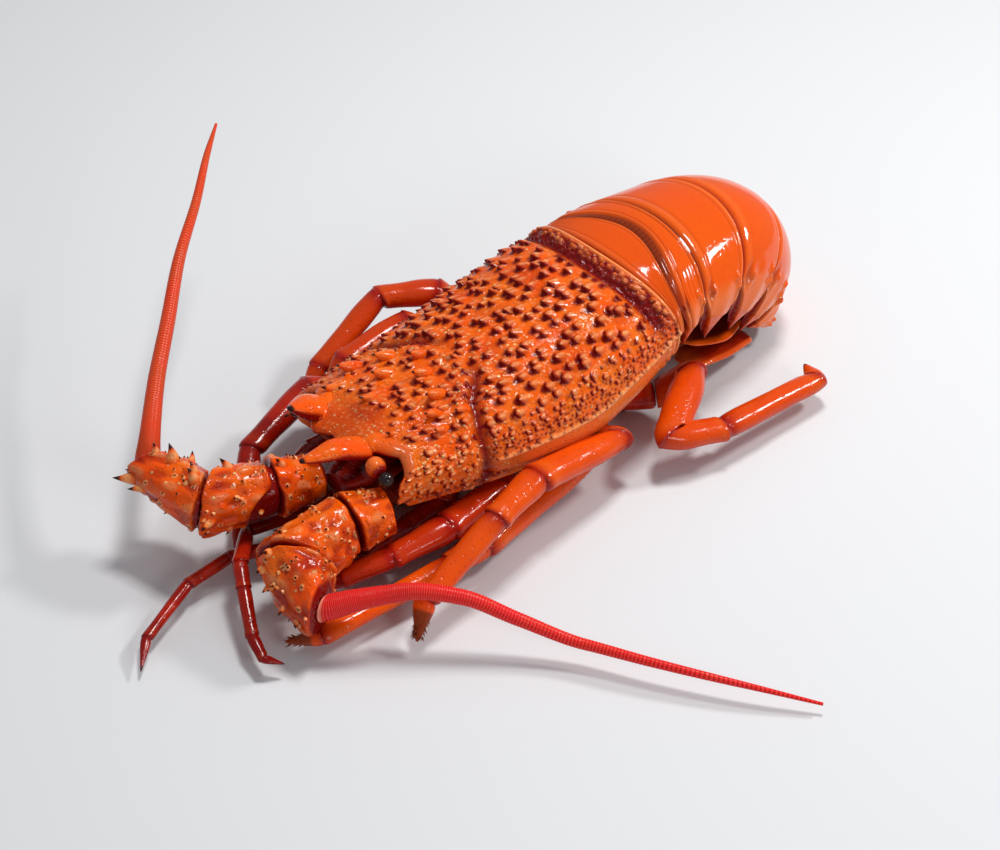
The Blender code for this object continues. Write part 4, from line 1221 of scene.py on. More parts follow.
def limb_grid(points, radii, first, seed):
    """Jointed limb: each link swells to a knuckle at its far end, and starts from a narrow neck."""
    points = np.asarray(points, float)
    last = len(points) - 1
    sizes = smooth(tuple(enumerate(radii)), np.arange(last + 1) * (len(radii) - 1) / last)
    aheads = unit(np.diff(points, axis=0))
    before = aheads[0] if first is None else unit(first)
    links = []
    for n in range(last):
        after = unit(aheads[n] + aheads[min(n + 1, last - 1)])
        ways = (before, aheads[n], after)
        links.append(limb_link(points[n:n + 2], sizes[n:n + 2], ways, n, last))
        before = after
    centres, facings, thick, shares, joints, run = (np.concatenate(part) for part in zip(*links))
    turns = angles(LIMB_SIDES)
    knuckle = bell(np.mod(shares, 1) - 0.94, 0.16) * (shares < last - 0.5)
    bulk = 1 + 0.07 * knuckle[:, None] * np.cos(2 * turns)
    bulk = bulk + 0.035 * waves(run[:, None], turns * 5, 5.0, seed)
    grid = rings_round(centres, facings, thick[:, None] * bulk, LIMB_SIDES, LEG_FLATNESS)
    return grid, shares, np.clip(joints, 0, 1), last


def add_leg(skin, points, radii, first, seed=1, brown_tip=0.0, under=0.0, all_over=0.0):
    """A leg with red skin at its joints, red painted as shade on its underside, a painted highlight at each
    knuckle and a dark tip; brown tips carry short stiff bristles.
    """
    grid, shares, joints, last = limb_grid(points, radii, first, seed)
    # The underside, where under paints red as shade.
    below = ramp(-np.sin(angles(LIMB_SIDES)), -0.3, 0.7)[None, :]
    tip_from = last - (0.8 if brown_tip else 0.22)
    tip = ramp(shares, tip_from, tip_from + 0.12)[:, None]
    dark = 0.3 * joints[:, None] + tip * (brown_tip or 0.9)
    red = np.clip(joints[:, None] + under * below + all_over, 0, 1)
    # A pale collar at each knuckle: a painted highlight.
    collar = bell(np.mod(shares, 1) - 0.9, 0.1)[:, None] * (shares[:, None] < last - 0.5)
    skin.sheet(grid, dark=np.clip(dark, 0, 1), pale=0.12 * collar * (1 - red), red=red)
    if brown_tip:
        add_bristles(skin, points, radii, seed)


def add_bristles(skin, points, radii, seed):
    """Short stiff bristles round a leg's last link."""
    start, end = np.asarray(points[-2], float), np.asarray(points[-1], float)
    ahead = unit(end - start)
    level, upright = cross_axes(ahead[None])
    for k in range(BRISTLES):
        share = 0.12 + 0.8 * k / BRISTLES
        turn = math.tau * float(chance(np.array(k), seed))
        out = level[0] * math.cos(turn) + upright[0] * math.sin(turn) * LEG_FLATNESS
        radius = (radii[-2] + (radii[-1] - radii[-2]) * share) * 0.72
        foot = start + (end - start) * share + out * (radius - 0.3)
        tip = foot + out * 1.2 + ahead * (1.1 + float(chance(np.array(k), seed + 3)))
        grid, _ = cone_grid(foot, tip, 0.28, (0, 0, 0), rows=3, sides=5)
        skin.sheet(grid, dark=0.85)


# ---------------------------------------------------------------- the tail


def tail_ends(joint):
    """Points on the tail's back and belly, on its middle line, at joint numbers."""
    ends = []
    for places in (TAIL_BACK, TAIL_BELLY):
        y, z = (smooth(tuple(enumerate(values)), joint) for values in zip(*places))
        ends.append(np.stack([np.zeros(np.shape(joint)), y, z], -1))
    return ends


def tail_arch(joint, grown, back, belly):
    """The tail's back and sides at joint numbers, from its right edge over to its left."""
    up = unit(back - belly)[:, None, :]
    high = np.linalg.norm(back - belly, axis=-1) + grown
    wide = smooth(tuple(enumerate(TAIL_HALF_WIDTH)), joint) + grown
    turn = math.pi * (np.arange(TAIL_ARCH + 1) / TAIL_ARCH - 0.5)[None, :]
    power = (2 / smooth(tuple(enumerate(TAIL_SQUARENESS)), joint))[:, None]
    out = np.sign(np.sin(turn)) * np.abs(np.sin(turn)) ** power
    rise = np.clip(np.cos(turn), 0, None) ** power
    over = belly[:, None, :] + LEFTWARD * (wide[:, None] * out)[..., None]
    over = over + up * (high[:, None] * rise)[..., None]
    lean = smooth(tuple(enumerate(TAIL_LEAN)), joint)[:, None]
    over[..., 1] += (back - belly)[:, 1:2] * (rise**lean - rise)
    return over, wide, up


def tail_sections(joint, grown, lobe):
    """Rings of the tail at joint numbers: over the back, round the side lobes, under the belly."""
    back, belly = tail_ends(joint)
    over, wide, up = tail_arch(joint, grown, back, belly)
    drop = up * (lobe + LEAST_LOBE)[:, None, None]
    middle = belly[:, None, :]
    edge = (wide - SIDE_LOBE_EDGE)[:, None, None] * LEFTWARD
    inner = (wide - SIDE_LOBE_WALL)[:, None, None] * LEFTWARD
    left_tip, right_tip = middle + edge - drop, middle - edge - drop
    corners = [over[:, -1:], left_tip, middle + inner, middle, middle - inner, right_tip, over[:, :1]]
    parts = [over]
    steps = np.linspace(0, 1, LOBE_COLUMNS + 1)[1:]
    for here, there in zip(corners, corners[1:]):
        reach = steps[:-1] if there is corners[-1] else steps
        parts.append(here + (there - here) * reach[None, :, None])
    return np.concatenate(parts, axis=1)


def tail_axis(joint):
    """The tail's direction, towards its end, at a joint number."""
    back, belly = tail_ends(np.array([float(joint)]))
    return unit(np.cross(back - belly, LEFTWARD))[0]


def tail_relief(n, share):
    """Rise of a tail joint's back in millimetres, from its front (0) to its rear margin (1)."""
    front = TAIL_BAND[n]
    rise = 0.3 * bell(share - front - 0.09, 0.1) - 0.35 * bell(share - front - 0.17, 0.06)
    rise = rise + 0.3 * bell(share - 0.955, 0.05) - 0.3 * bell(share - 0.9, 0.035)
    return TAIL_RIDGE[n] * rise - (0.25 + 0.5 * TAIL_RIDGE[n]) * (1 - ramp(share, front, front + 0.04))


def leaf_share(n, share, ring, columns):
    """1 on the leaf-shaped side plate of a tail joint and on its back, 0 on the skin below and between."""
    if n == 0:
        return np.ones(np.broadcast(share, ring).shape)
    column = np.arange(columns)[None, :]
    lobe = np.where(column <= TAIL_ARCH + LOBE_COLUMNS, ring, 1 + (columns - column) / TAIL_ARCH * 2)
    half = 0.5 * np.clip((LEAF_TIP - lobe) / (LEAF_TIP - LEAF_TOP), 0, 1) ** 0.7
    teeth = 0.03 * np.abs(np.mod(lobe * 34, 1) - 0.5) * (share > SIDE_LOBE_AT)
    inside = ramp(half + teeth - np.abs(share - SIDE_LOBE_AT + 0.02), -0.012, 0.012)
    return np.where(lobe < LEAF_TOP, 1.0, inside)


def flap_relief(n, share, ring, leaf):
    """Swelling, fold and knobs of a tail joint's side; ring runs from the back (0) to the belly (1)."""
    flap = ramp(ring, 0.62, 0.78) * (ring <= 1.0) * (n > 0)
    fold = bell(share - TAIL_BAND[n] - 0.12, 0.12) * flap * (1 - ramp(ring, 0.8, 0.9))
    swelling = bell(share - 0.62, 0.34) * flap
    knob = 0.0
    for at, across in ((0.84, 0.73), (0.3, 0.76), (0.92, 0.8)):
        knob = knob + np.exp(-(((share - at) / 0.05) ** 2) - ((ring - across) / 0.035) ** 2) * (n > 0)
    wrinkles = 0.14 * np.sin(share * 75 + 3 * waves(share * 9, ring * 9, 1.0, n))
    wrinkles = wrinkles * bell(ring - 0.66, 0.26) * (n == 1)
    return 0.8 * swelling - 1.1 * fold + 1.5 * knob + wrinkles - LEAF_STEP * (1 - leaf), fold


def tail_grid(n):
    """A tail joint's points, with the fields that its masks are made of."""
    share = np.linspace(0, 1, TAIL_ROWS)
    tucked = smooth(((0.0, 1.0), (0.1, 0.4), (0.22, 0), (0.42, 0), (1.0, 0)), share)
    reach = 1 - np.abs(share - SIDE_LOBE_AT) / (SIDE_LOBE_END - SIDE_LOBE_AT)
    reach = np.clip(reach, 0, 1) ** SIDE_LOBE_BLUNTNESS
    grid = tail_sections(n + share, -TUCK * tucked + tail_relief(n, share), SIDE_LOBE[n] * reach)
    ring = np.abs(np.arange(grid.shape[1]) / TAIL_ARCH - 0.5)[None, :] * 2
    leaf = leaf_share(n, share[:, None], ring, grid.shape[1])
    rise, fold = flap_relief(n, share[:, None], ring, leaf)
    outward = grid - tail_ends(n + share)[1][:, None, :]
    grid = grid + unit(outward) * (rise * ramp(share, 0.02, 0.1)[:, None])[..., None]
    grid[-1] -= tail_axis(n + 1) * TOUCH * 1.3
    if n == 0:
        fade = np.clip(1 - share / FIRST_JOINT_SWEEP, 0, 1)[:, None]
        grid[..., 1] += fade * (rear_edge(grid[..., 0]) - REAR_EDGE_MIDDLE)
    return grid, share, ring, fold, leaf


def add_tail_piece(skin, n):
    """A tail joint with its dark front band, pale rear margin and red skin round its side plates, with
    painted shade on that skin and in the side fold.
    """
    grid, share, ring, fold, leaf = tail_grid(n)
    share = share[:, None]
    front = TAIL_BAND[n]
    top = 1 - ramp(ring, 0.35, 0.75)
    ribs = 0.9 + 0.1 * np.cos(np.arange(grid.shape[1]) * math.tau / 2.6)[None, :]
    band = 1 - ramp(share, front - 0.02, front + 0.03)
    dark = band * ribs * (0.35 + 0.5 * top) * (0.3 + 0.7 * (n < 3))
    grooves = 0.3 * bell(share - front - 0.17, 0.05) + 0.35 * bell(share - 0.905, 0.025)
    # The skin round the side plates is darkened as painted shade.
    dark = dark + TAIL_RIDGE[n] * grooves + 0.25 * (1 - leaf)
    side = ramp(ring, 0.7, 0.84) * (ring <= 1.0) * leaf
    pale = 0.25 * bell(share - 0.965, 0.05) + 0.3 * side + 0.12 * bell(share - front - 0.09, 0.1)
    pale = np.clip(pale, 0, 1) * (1 - band)
    # The side fold's crease is reddened as painted shade.
    red = 0.8 * (1 - ramp(share, 0.02, 0.14)) + 0.6 * band * (1 - top) + 0.8 * fold + 1 - leaf
    red = red + (ring > 1.06) * 0.5
    skin.sheet(grid, dark=np.clip(dark, 0, 1), pale=pale, red=np.clip(red, 0, 1))


def add_blade(skin, start, end, widths, shade):
    """Flat leaf of the tail fan with fine ribs that spread towards its rounded end, painted with shade away
    from its rolled side edges.
    """
    start, end = np.asarray(start, float), np.asarray(end, float)
    ahead = unit(end - start)
    side = unit(np.cross(ahead, (0, 0, 1)))
    up = np.cross(side, ahead)
    share = np.linspace(0, 1, BLADE_ROWS)
    turns = angles(BLADE_SIDES)
    wide = smooth(widths, share) * (1 - ramp(share, 0.85, 1.0) * 0.35)
    thick = FAN_THICKNESS * (1 - ramp(share, 0.6, 1.0) * 0.6)
    ribs = 1 + 0.05 * np.cos(turns * 10)
    grid = (start + (end - start) * share[:, None])[:, None, :]
    grid = grid + side * (wide[:, None] * np.cos(turns))[..., None]
    grid = grid + up * (thick[:, None] * np.sin(turns) * ribs)[..., None]
    rolled = ramp(np.abs(np.cos(turns)), 0.72, 0.9)[None, :]
    # Away from the rolled edges the leaf is painted dark and red as shade.
    inner = (1 - rolled) * (1 - 0.6 * ramp(share, 0.7, 1.0)[:, None])
    skin.sheet(grid, dark=shade * inner, red=0.85 * inner, pale=0.15 * ramp(share, 0.7, 1)[:, None])


# ---------------------------------------------------------------- feelers, face and eyes


def feeler_faces(points, whip):
    """The way each joint of a feeler's base goes, and the facings of its ends."""
    aheads = unit(np.concatenate([np.diff(points, axis=0), [np.subtract(whip[1], whip[0])]]))
    return aheads, np.concatenate([aheads[:1], unit(aheads[:-1] + aheads[1:])])


def feeler_frame(n, points, radii, whip):
    """One joint's two ends, the way it goes, its facings at the ends and its radii there."""
    points = np.asarray(points, float)
    aheads, faces = feeler_faces(points, whip)
    return types.SimpleNamespace(
        start=points[n] + faces[n] * TOUCH,
        end=points[n + 1] - faces[n + 1] * TOUCH,
        ahead=aheads[n],
        faces=(faces[n], faces[n + 1]),
        radii=radii[n],
    )


def feeler_skin(side, n, share, turns, u, v, seed):
    """Edge of the soft skin at a joint's foot, as a share of its length, and where the skin is."""
    lower = ramp(np.cos(turns - FEELER_SKIN_TURN), 0.0, 0.9)[None, :]
    edge = FEELER_SKIN[side][n] + FEELER_SKIN_BELOW[side][n] * lower + 0.025 * waves(u, v, 3.0, seed)
    bare = 1 - ramp(share[:, None], edge - 0.02, edge + 0.03)
    return edge, np.clip(bare + ramp(share, 0.98, 0.995)[:, None], 0, 1)


def feeler_masks(n, u, v, seed, bare, spots, luck, crumple):
    """Black-tipped and pale-ringed grains, red blotches, red painted as shade in the crumpled hollows, a
    painted highlight on the crumpled crests, and red skin of a feeler's joint.
    """
    ring = bell(spots - 0.7, 0.34) * (luck < 0.3)
    blotch_and_hollow_shade = (0.35 + 0.2 * (n == 2)) * ramp(waves(u, v, 6.0, seed + 1), -0.2, 0.5)
    # Red painted as shade in the hollows of the crumpled relief.
    blotch_and_hollow_shade = np.clip(blotch_and_hollow_shade + 0.55 * ramp(-crumple, 0.05, 0.5), 0, 0.8)
    dark = 0.9 * ramp(spots, 0.85, 0.97) * (luck < 0.28) + 0.3 * bare
    # A painted highlight on the crests of the crumpled relief.
    pale = 0.7 * ring + 0.22 * ramp(crumple, 0.25, 0.6)
    return {
        "dark": np.clip(dark, 0, 1),
        "pale": np.clip(pale, 0, 1) * (1 - bare),
        "red": np.maximum(bare, blotch_and_hollow_shade),
        "speck": 0.05 * (1 - bare),
    }


def add_feeler_joint(skin, side, n, points, radii, whip):
    """One thick joint of a feeler's base with its grains, skin folds and black-tipped spines."""
    joint = feeler_frame(n, points, radii, whip)
    seed = 50 + 10 * n + (side == "left")
    near, far = joint.radii
    share = np.linspace(0, 1, FEELER_ROWS)
    turns = angles(FEELER_SIDES)
    base = (near + (far - near) * share) * smooth(FEELER_SWELL, share)
    length = np.linalg.norm(joint.end - joint.start)
    u, v = np.meshgrid(share * length, turns * base.mean(), indexing="ij")
    edge, bare = feeler_skin(side, n, share, turns, u, v, seed)
    spots, luck = granules(u, v, 4.6, 1.5, seed, 0.42)
    spots = spots * (1 - bare)
    crumple = waves(u * 0.7, v, 2.0, seed + 7) * (1 - bare)
    bulk = 1 + 0.05 * np.cos(2 * turns + seed) + 0.07 * waves(u * 0.5, v, 3.6, seed + 3)
    bulk = base[:, None] * bulk - 0.9 * bare
    bulk = bulk + 0.55 * spots + 0.25 * waves(u * 0.6, v, 1.2, seed)
    bulk = bulk + 0.3 * bell(share[:, None] - edge - 0.05, 0.06) + 0.75 * crumple
    facing = joint.faces[0] * (1 - share[:, None]) + joint.faces[1] * share[:, None]
    centres = joint.start + (joint.end - joint.start) * share[:, None]
    grid = rings_round(centres, facing, bulk, FEELER_SIDES)
    rim = bell(share - 0.9, 0.22)[:, None] * waves(turns * 4, 3.0 * n, 1.0, seed)[None, :]
    grid = grid + joint.ahead * (1.1 * rim * (n < 2))[..., None]
    skin.sheet(grid, **feeler_masks(n, u, v, seed, bare, spots, luck, crumple))
    for turn, at, height in feeler_spines(side, n, seed):
        add_feeler_spine(skin, joint, turn, at, height)


def add_feeler_spine(skin, joint, turn, at, height):
    """A spine of a feeler's joint, with a black tip and a pale middle."""
    near, far = joint.radii
    facing = joint.faces[0] * (1 - at) + joint.faces[1] * at
    level, upright = cross_axes(facing[None])
    out = level[0] * math.cos(turn) + upright[0] * math.sin(turn)
    radius = (near + (far - near) * at) * 0.98
    middle = joint.start + (joint.end - joint.start) * at
    foot = middle + out * (radius - 1.2)
    tip = middle + out * (radius + height * 0.6) + joint.ahead * height * 0.5
    great = height > LEAST_SPINE
    thick = (0.36 if great else 0.62) * height
    grid, share = cone_grid(foot, tip, thick, joint.ahead * -0.06 * height, rows=14, sides=14, belly=0.3)
    black = ramp(share, 0.66, 0.78)[:, None]
    cream = (bell(share - 0.45, 0.34) * (0.55 if great else 0.95))[:, None]
    skin.sheet(grid, dark=black, pale=cream * (1 - black), red=0.25 * bell(share, 0.3)[:, None])


def feeler_spines(side, n, seed):
    """The joint's spines that show in the photo, then small ones all round it."""
    great = [(math.radians(turn), share, length) for turn, share, length in FEELER_SPINES[side][n]]
    k = np.arange(SMALL_SPINES)
    turns = math.tau * (k * 0.382 + 0.05 * chance(k, seed))
    shares = 0.22 + 0.7 * chance(k, seed + 5)
    lengths = 1.4 + 2.0 * chance(k, seed + 9)
    return great + list(zip(turns.tolist(), shares.tolist(), lengths.tolist()))


def whip_face(points, whip):
    """The facing of a whip's foot, halfway between the last joint's way and the whip's own."""
    before = unit(np.subtract(points[-1], points[-2]))
    return unit(before + unit(np.subtract(whip[1], whip[0])))


def whip_masks(share, phase, ring, seed):
    """Dark valleys and pale crests of a whip's rings, the crests a painted highlight that fades on the
    underside, its pale rim, and red painted as shade on its underside.
    """
    valley = 1 - ramp(phase, 0.05, 0.3) + ramp(phase, 0.85, 1)
    dark = np.clip(0.75 * valley, 0, 1)[:, None]
    rim = bell(share - 0.006, 0.009)[:, None]
    # Pale crests: a painted highlight, weaker underneath.
    crest = (0.2 * bell(phase - 0.7, 0.3) * (0.5 + 0.5 * chance(ring, seed)))[:, None]
    # The underside, reddened as painted shade.
    below = ramp(-np.sin(angles(WHIP_SIDES)), -0.1, 0.7)[None, :]
    pale = np.clip(crest * (1 - 0.7 * below) + rim, 0, 1)
    return {"dark": dark * (1 - rim), "pale": pale, "red": 0.35 * below * (1 - rim)}


def add_whip(skin, points, whip, ring_spacing, seed):
    """Tapering whip made of fine rings, each a little wider at its far end."""
    facing = whip_face(points, whip)
    route = (tuple(np.asarray(points[-1], float) + facing * TOUCH),) + whip[1:]
    dense = along(route, np.linspace(0, 1, 400))
    length = np.linalg.norm(np.diff(dense, axis=0), axis=-1).sum()
    rings = int(length / ring_spacing)
    share = np.linspace(0, 1, rings * WHIP_ROWS_A_RING + 1)
    centres = along(route, share)
    blend = ramp(share, 0, 0.04)[:, None]
    facings = unit(np.gradient(centres, axis=0)) * blend + facing * (1 - blend)
    phase = np.mod(share * rings, 1)
    swell = 0.95 + 0.05 * ramp(phase, 0.05, 0.7) - 0.04 * ramp(phase, 0.8, 0.98)
    grid = rings_round(centres, facings, smooth(WHIP_RADII, share) * swell, WHIP_SIDES)
    skin.sheet(grid, **whip_masks(share, phase, np.floor(share * rings), seed))


def face_grid():
    """The face's block of folded skin, and its folds."""
    y = np.linspace(FACE[0][0], FACE[-1][0], FACE_ROWS)[:, None]
    wide, low, high = (smooth([(row[0], row[k]) for row in FACE[::-1]], y) for k in (1, 2, 3))
    turns = angles(FACE_SIDES)
    folds = 0.5 * np.sin(turns * 9 + 0.5 * np.sin(y * 0.35)) + 0.3 * waves(y, turns * 9, 2.2, 4)
    folds = folds * ramp(y, -72.4, -70)
    x = FACE_MIDDLE + (wide + folds) * np.cos(turns)
    z = (low + high) / 2 + (high - low) / 2 * np.sin(turns) + folds * np.sin(turns)
    return np.stack([x, np.broadcast_to(y, x.shape), z], -1), folds


def ball_grid(centre, radius):
    """A ball as level rings."""
    turn = np.linspace(0.02, math.pi - 0.02, BALL_ROWS)
    centres = np.asarray(centre, float) + np.stack([0 * turn, 0 * turn, radius * np.cos(turn)], -1)
    facings = np.tile((0.0, 0.0, 1.0), (BALL_ROWS, 1))
    return rings_round(centres, facings, radius * np.sin(turn), BALL_SIDES)


def stalk_grid(foot, knob, ball_centre):
    """An eye's stalk, which stops just short of its ball, with each row's share of the way."""
    foot, knob, ball_centre = (np.asarray(p, float) for p in (foot, knob, ball_centre))
    end = ball_centre - unit(ball_centre - knob) * (EYE_RADIUS + TOUCH)
    share = np.linspace(0, 1, STALK_ROWS)
    centres = along((foot, foot + (knob - foot) * 0.6, knob, end), share)
    radii = STALK_RADIUS * smooth(STALK_PROFILE, share)
    return rings_round(centres, np.gradient(centres, axis=0), radii, STALK_SIDES), share


# ---------------------------------------------------------------- the breast


def breast_grid():
    """The breast's plate and sides, and its low seams."""
    y = np.linspace(BREAST[0][0], BREAST[-1][0], BREAST_ROWS)
    top, flat = (smooth([(row[0], row[k]) for row in BREAST], y) for k in (1, 2))
    high = smooth(RIM_HEIGHT, y) - BREAST_UNDER_SHELL
    side = flat + (top - flat) * BREAST_SIDE_SHARE
    corners = [(top, high), (side, 0 * y + BREAST_SIDE_HEIGHT), (flat, 0 * y)]
    corners = corners + [(-x, z) for x, z in reversed(corners)]
    corners.append(corners[0])
    columns = []
    for (x, z), (next_x, next_z) in zip(corners, corners[1:]):
        for s in np.linspace(0, 1, BREAST_STEPS + 1)[:-1]:
            columns.append(np.stack([x + (next_x - x) * s, y, z + (next_z - z) * s], -1))
    grid = np.stack(columns, axis=1)
    seams = sum(bell(y - place_y, 2.2) for place_y in BREAST_SEAMS)
    grid[..., 0] *= (1 - 0.03 * seams)[:, None]
    return grid, seams


def hip_direction(sign, n, points):
    """The way out along a hip, and its foot on the breast."""
    across, place_y, height = HIP_PLACES[n]
    foot = np.array((across * sign, place_y, height), float)
    return unit(np.asarray(points[0], float) - foot), foot


def add_hips(skin):
    """The ten short joints between the breast and the legs."""
    share = np.linspace(0, 1, HIP_ROWS)
    radii = HIP_RADIUS * smooth(HIP_PROFILE, share)
    red, pale = ramp(share, 0.92, 0.98)[:, None], 0.2 * bell(share - 0.86, 0.1)[:, None]
    for sign, places in ((1, LEGS_LEFT), (-1, LEGS_RIGHT)):
        for n, points in enumerate(places):
            out, foot = hip_direction(sign, n, points)
            start, end = foot - out * HIP_LENGTH, np.asarray(points[0], float) - out * 2 * TOUCH
            centres = start + (end - start) * share[:, None]
            grid = rings_round(centres, np.tile(out, (HIP_ROWS, 1)), radii, HIP_SIDES, LEG_FLATNESS)
            skin.sheet(grid, red=red, pale=pale)


# ---------------------------------------------------------------- operators


class LOBSTER_OT_shell(bpy.types.Operator):
    """Build the thorny back shell"""

    bl_idname = "lobster.shell"
    bl_label = "Back shell"

    def execute(self, context):
        skin = Skin()
        add_shell(skin, context.scene.lobster_sizes)
        skin.make("back_shell", shell_finish(), "shell_orange", "carapace")
        return {"FINISHED"}


class LOBSTER_OT_horns(bpy.types.Operator):
    """Build the horns and great spines of the head"""

    bl_idname = "lobster.horns"
    bl_label = "Horns and head spines"

    def execute(self, context):
        skin = Skin()
        add_horns(skin)
        skin.make("horns", spine_finish(), "shell_orange", "carapace")
        return {"FINISHED"}


class LOBSTER_OT_breast(bpy.types.Operator):
    """Build the breast plate with the hips of the ten legs"""

    bl_idname = "lobster.breast"
    bl_label = "Breast and hips"

    def execute(self, context):
        skin = Skin()
        grid, seams = breast_grid()
        skin.sheet(grid, dark=0.4 * seams[:, None], pale=0.2)
        add_hips(skin)
        skin.make("breast_plate", leg_finish(), "leg_red", "breast")
        return {"FINISHED"}


class LOBSTER_OT_legs(bpy.types.Operator):
    """Build the ten walking legs"""

    bl_idname = "lobster.legs"
    bl_label = "Walking legs"

    def execute(self, context):
        for side, sign, places in (("left", 1, LEGS_LEFT), ("right", -1, LEGS_RIGHT)):
            for n, points in enumerate(places):
                skin = Skin()
                first, _ = hip_direction(sign, n, points)
                orange = n in ORANGE_LEGS[side]
                brown = BROWN_TIP if n in BROWN_TIPPED[side] else 0.0
                under = ORANGE_UNDERSIDE_SHADE if orange else 0.0
                add_leg(skin, points, LEG_RADII[n], first, n + sign, brown, under, LEG_RED[side][n])
                name = f"leg_{side}_{n + 1}"
                look = orange_leg_finish() if orange else leg_finish()
                skin.make("walking_" + name, look, "leg_red", name)
        return {"FINISHED"}


class LOBSTER_OT_tail(bpy.types.Operator):
    """Build the six joints of the tail"""

    bl_idname = "lobster.tail"
    bl_label = "Tail joints"

    def execute(self, context):
        for n in range(6):
            skin = Skin()
            add_tail_piece(skin, n)
            skin.make(f"tail_joint_{n + 1}", tail_finish(), "tail_orange", f"tail_{n + 1}")
        return {"FINISHED"}


class LOBSTER_OT_fan(bpy.types.Operator):
    """Build the folded tail fan"""

    bl_idname = "lobster.fan"
    bl_label = "Tail fan"

    def execute(self, context):
        leaves = [("telson", 1, TELSON)]
        for side, sign in (("left", 1), ("right", -1)):
            leaves += [(f"fan_inner_{side}", sign, FAN_INNER), (f"fan_outer_{side}", sign, FAN_OUTER)]
        for name, sign, (root, end, widths) in leaves:
            skin = Skin()
            root, end = ((p[0] * sign, p[1], p[2]) for p in (root, end))
            add_blade(skin, root, end, widths, INNER_SHADE if "inner" in name else OUTER_SHADE)
            skin.make("leaf_" + name, tail_finish(), "tail_orange", name)
        return {"FINISHED"}


class LOBSTER_OT_feelers(bpy.types.Operator):
    """Build the spiny base joints of the two great feelers"""

    bl_idname = "lobster.feelers"
    bl_label = "Feeler bases"

    def execute(self, context):
        for side, points, radii, whip in (
            ("left", FEELER_LEFT, FEELER_LEFT_RADII, WHIP_LEFT),
            ("right", FEELER_RIGHT, FEELER_RIGHT_RADII, WHIP_RIGHT),
        ):
            for n in range(3):
                skin = Skin()
                add_feeler_joint(skin, side, n, points, radii, whip)
                name = f"feeler_{side}_{n + 1}"
                skin.make("joint_" + name, spine_finish(), "shell_orange", name)
        return {"FINISHED"}


class LOBSTER_OT_whips(bpy.types.Operator):
    """Build the ringed whips of the great feelers"""

    bl_idname = "lobster.whips"
    bl_label = "Whips"

    def execute(self, context):
        spacing = context.scene.lobster_sizes.ring_spacing / MM
        for side, points, whip in (("left", FEELER_LEFT, WHIP_LEFT), ("right", FEELER_RIGHT, WHIP_RIGHT)):
            skin = Skin()
            add_whip(skin, points, whip, spacing, WHIP_SEEDS[side])
            skin.make(f"ringed_whip_{side}", whip_finish(side), "whip_crimson", f"whip_{side}")
        return {"FINISHED"}


class LOBSTER_OT_small_limbs(bpy.types.Operator):
    """Build the thin inner feelers and the mouth legs"""

    bl_idname = "lobster.small_limbs"
    bl_label = "Inner feelers and mouth legs"

    def execute(self, context):
        for side, points in (("left", FEELERLET_LEFT), ("right", FEELERLET_RIGHT)):
            skin = Skin()
            add_leg(skin, points, FEELERLET_RADII, None)
            skin.make(f"inner_feeler_{side}", leg_finish(), "leg_red", f"feelerlet_{side}")
        for side, sign in (("left", 1), ("right", -1)):
            skin = Skin()
            add_leg(skin, [(x * sign, y, z) for x, y, z in MOUTH_LEG], MOUTH_LEG_RADII, None)
            skin.make(f"mouth_limb_{side}", leg_finish(), "leg_red", f"mouth_leg_{side}")
        return {"FINISHED"}


class LOBSTER_OT_face(bpy.types.Operator):
    """Build the folded skin of the face"""

    bl_idname = "lobster.face"
    bl_label = "Face"

    def execute(self, context):
        skin = Skin()
        grid, folds = face_grid()
        # Painted shade in the fold valleys, and lighter red painted as highlights on the fold crests.
        skin.sheet(grid, dark=np.clip(0.25 - folds, 0, 1), red=np.clip(0.4 * folds, 0, 1))
        skin.make("face_skin", membrane_finish(), "membrane_red", "face")
        return {"FINISHED"}


class LOBSTER_OT_eyes(bpy.types.Operator):
    """Build the two stalked eyes"""

    bl_idname = "lobster.eyes"
    bl_label = "Eyes"

    def execute(self, context):
        for side, (foot, knob, ball_centre) in EYES.items():
            stalk = Skin()
            grid, share = stalk_grid(foot, knob, ball_centre)
            red, pale = ramp(share, 0.8, 0.95), 0.15 * bell(share - 0.6, 0.4)
            stalk.sheet(grid, red=red[:, None], pale=pale[:, None])
            stalk.make(f"stalk_{side}", spine_finish(), "shell_orange", f"eyestalk_{side}")
            ball = Skin()
            ball.sheet(ball_grid(ball_centre, EYE_RADIUS))
            ball.make(f"eyeball_{side}", eye_finish(), "eye_black", f"eye_{side}")
        return {"FINISHED"}


def soft_light(name, place_mm, aim_mm, size, power, colour):
    """A rectangle of light that faces its aim."""
    lamp = bpy.data.lights.new(name, "AREA")
    lamp.shape = "RECTANGLE"
    lamp.size, lamp.size_y = size
    lamp.energy = power
    lamp.color = colour
    thing = bpy.data.objects.new(name, lamp)
    link_to_scene(thing)
    thing.location = Vector(place_mm) * MM
    aim = Vector(aim_mm) * MM - thing.location
    thing.rotation_euler = aim.to_track_quat("-Z", "Y").to_euler()


def floor_finish():
    """Matt, nearly white, with a faint cloudiness."""
    material = bpy.data.materials.new("pale floor")
    material.use_nodes = True
    tree = material.node_tree
    shader = tree.nodes["Principled BSDF"]
    cloud = place(tree, "ShaderNodeTexNoise", {"Scale": 3.0, "Detail": 2.0})
    colour = blend_colour(tree, cloud.outputs["Fac"], *FLOOR_COLOURS)
    tree.links.new(colour, shader.inputs["Base Color"])
    shader.inputs["Roughness"].default_value = FLOOR_ROUGHNESS
    return material


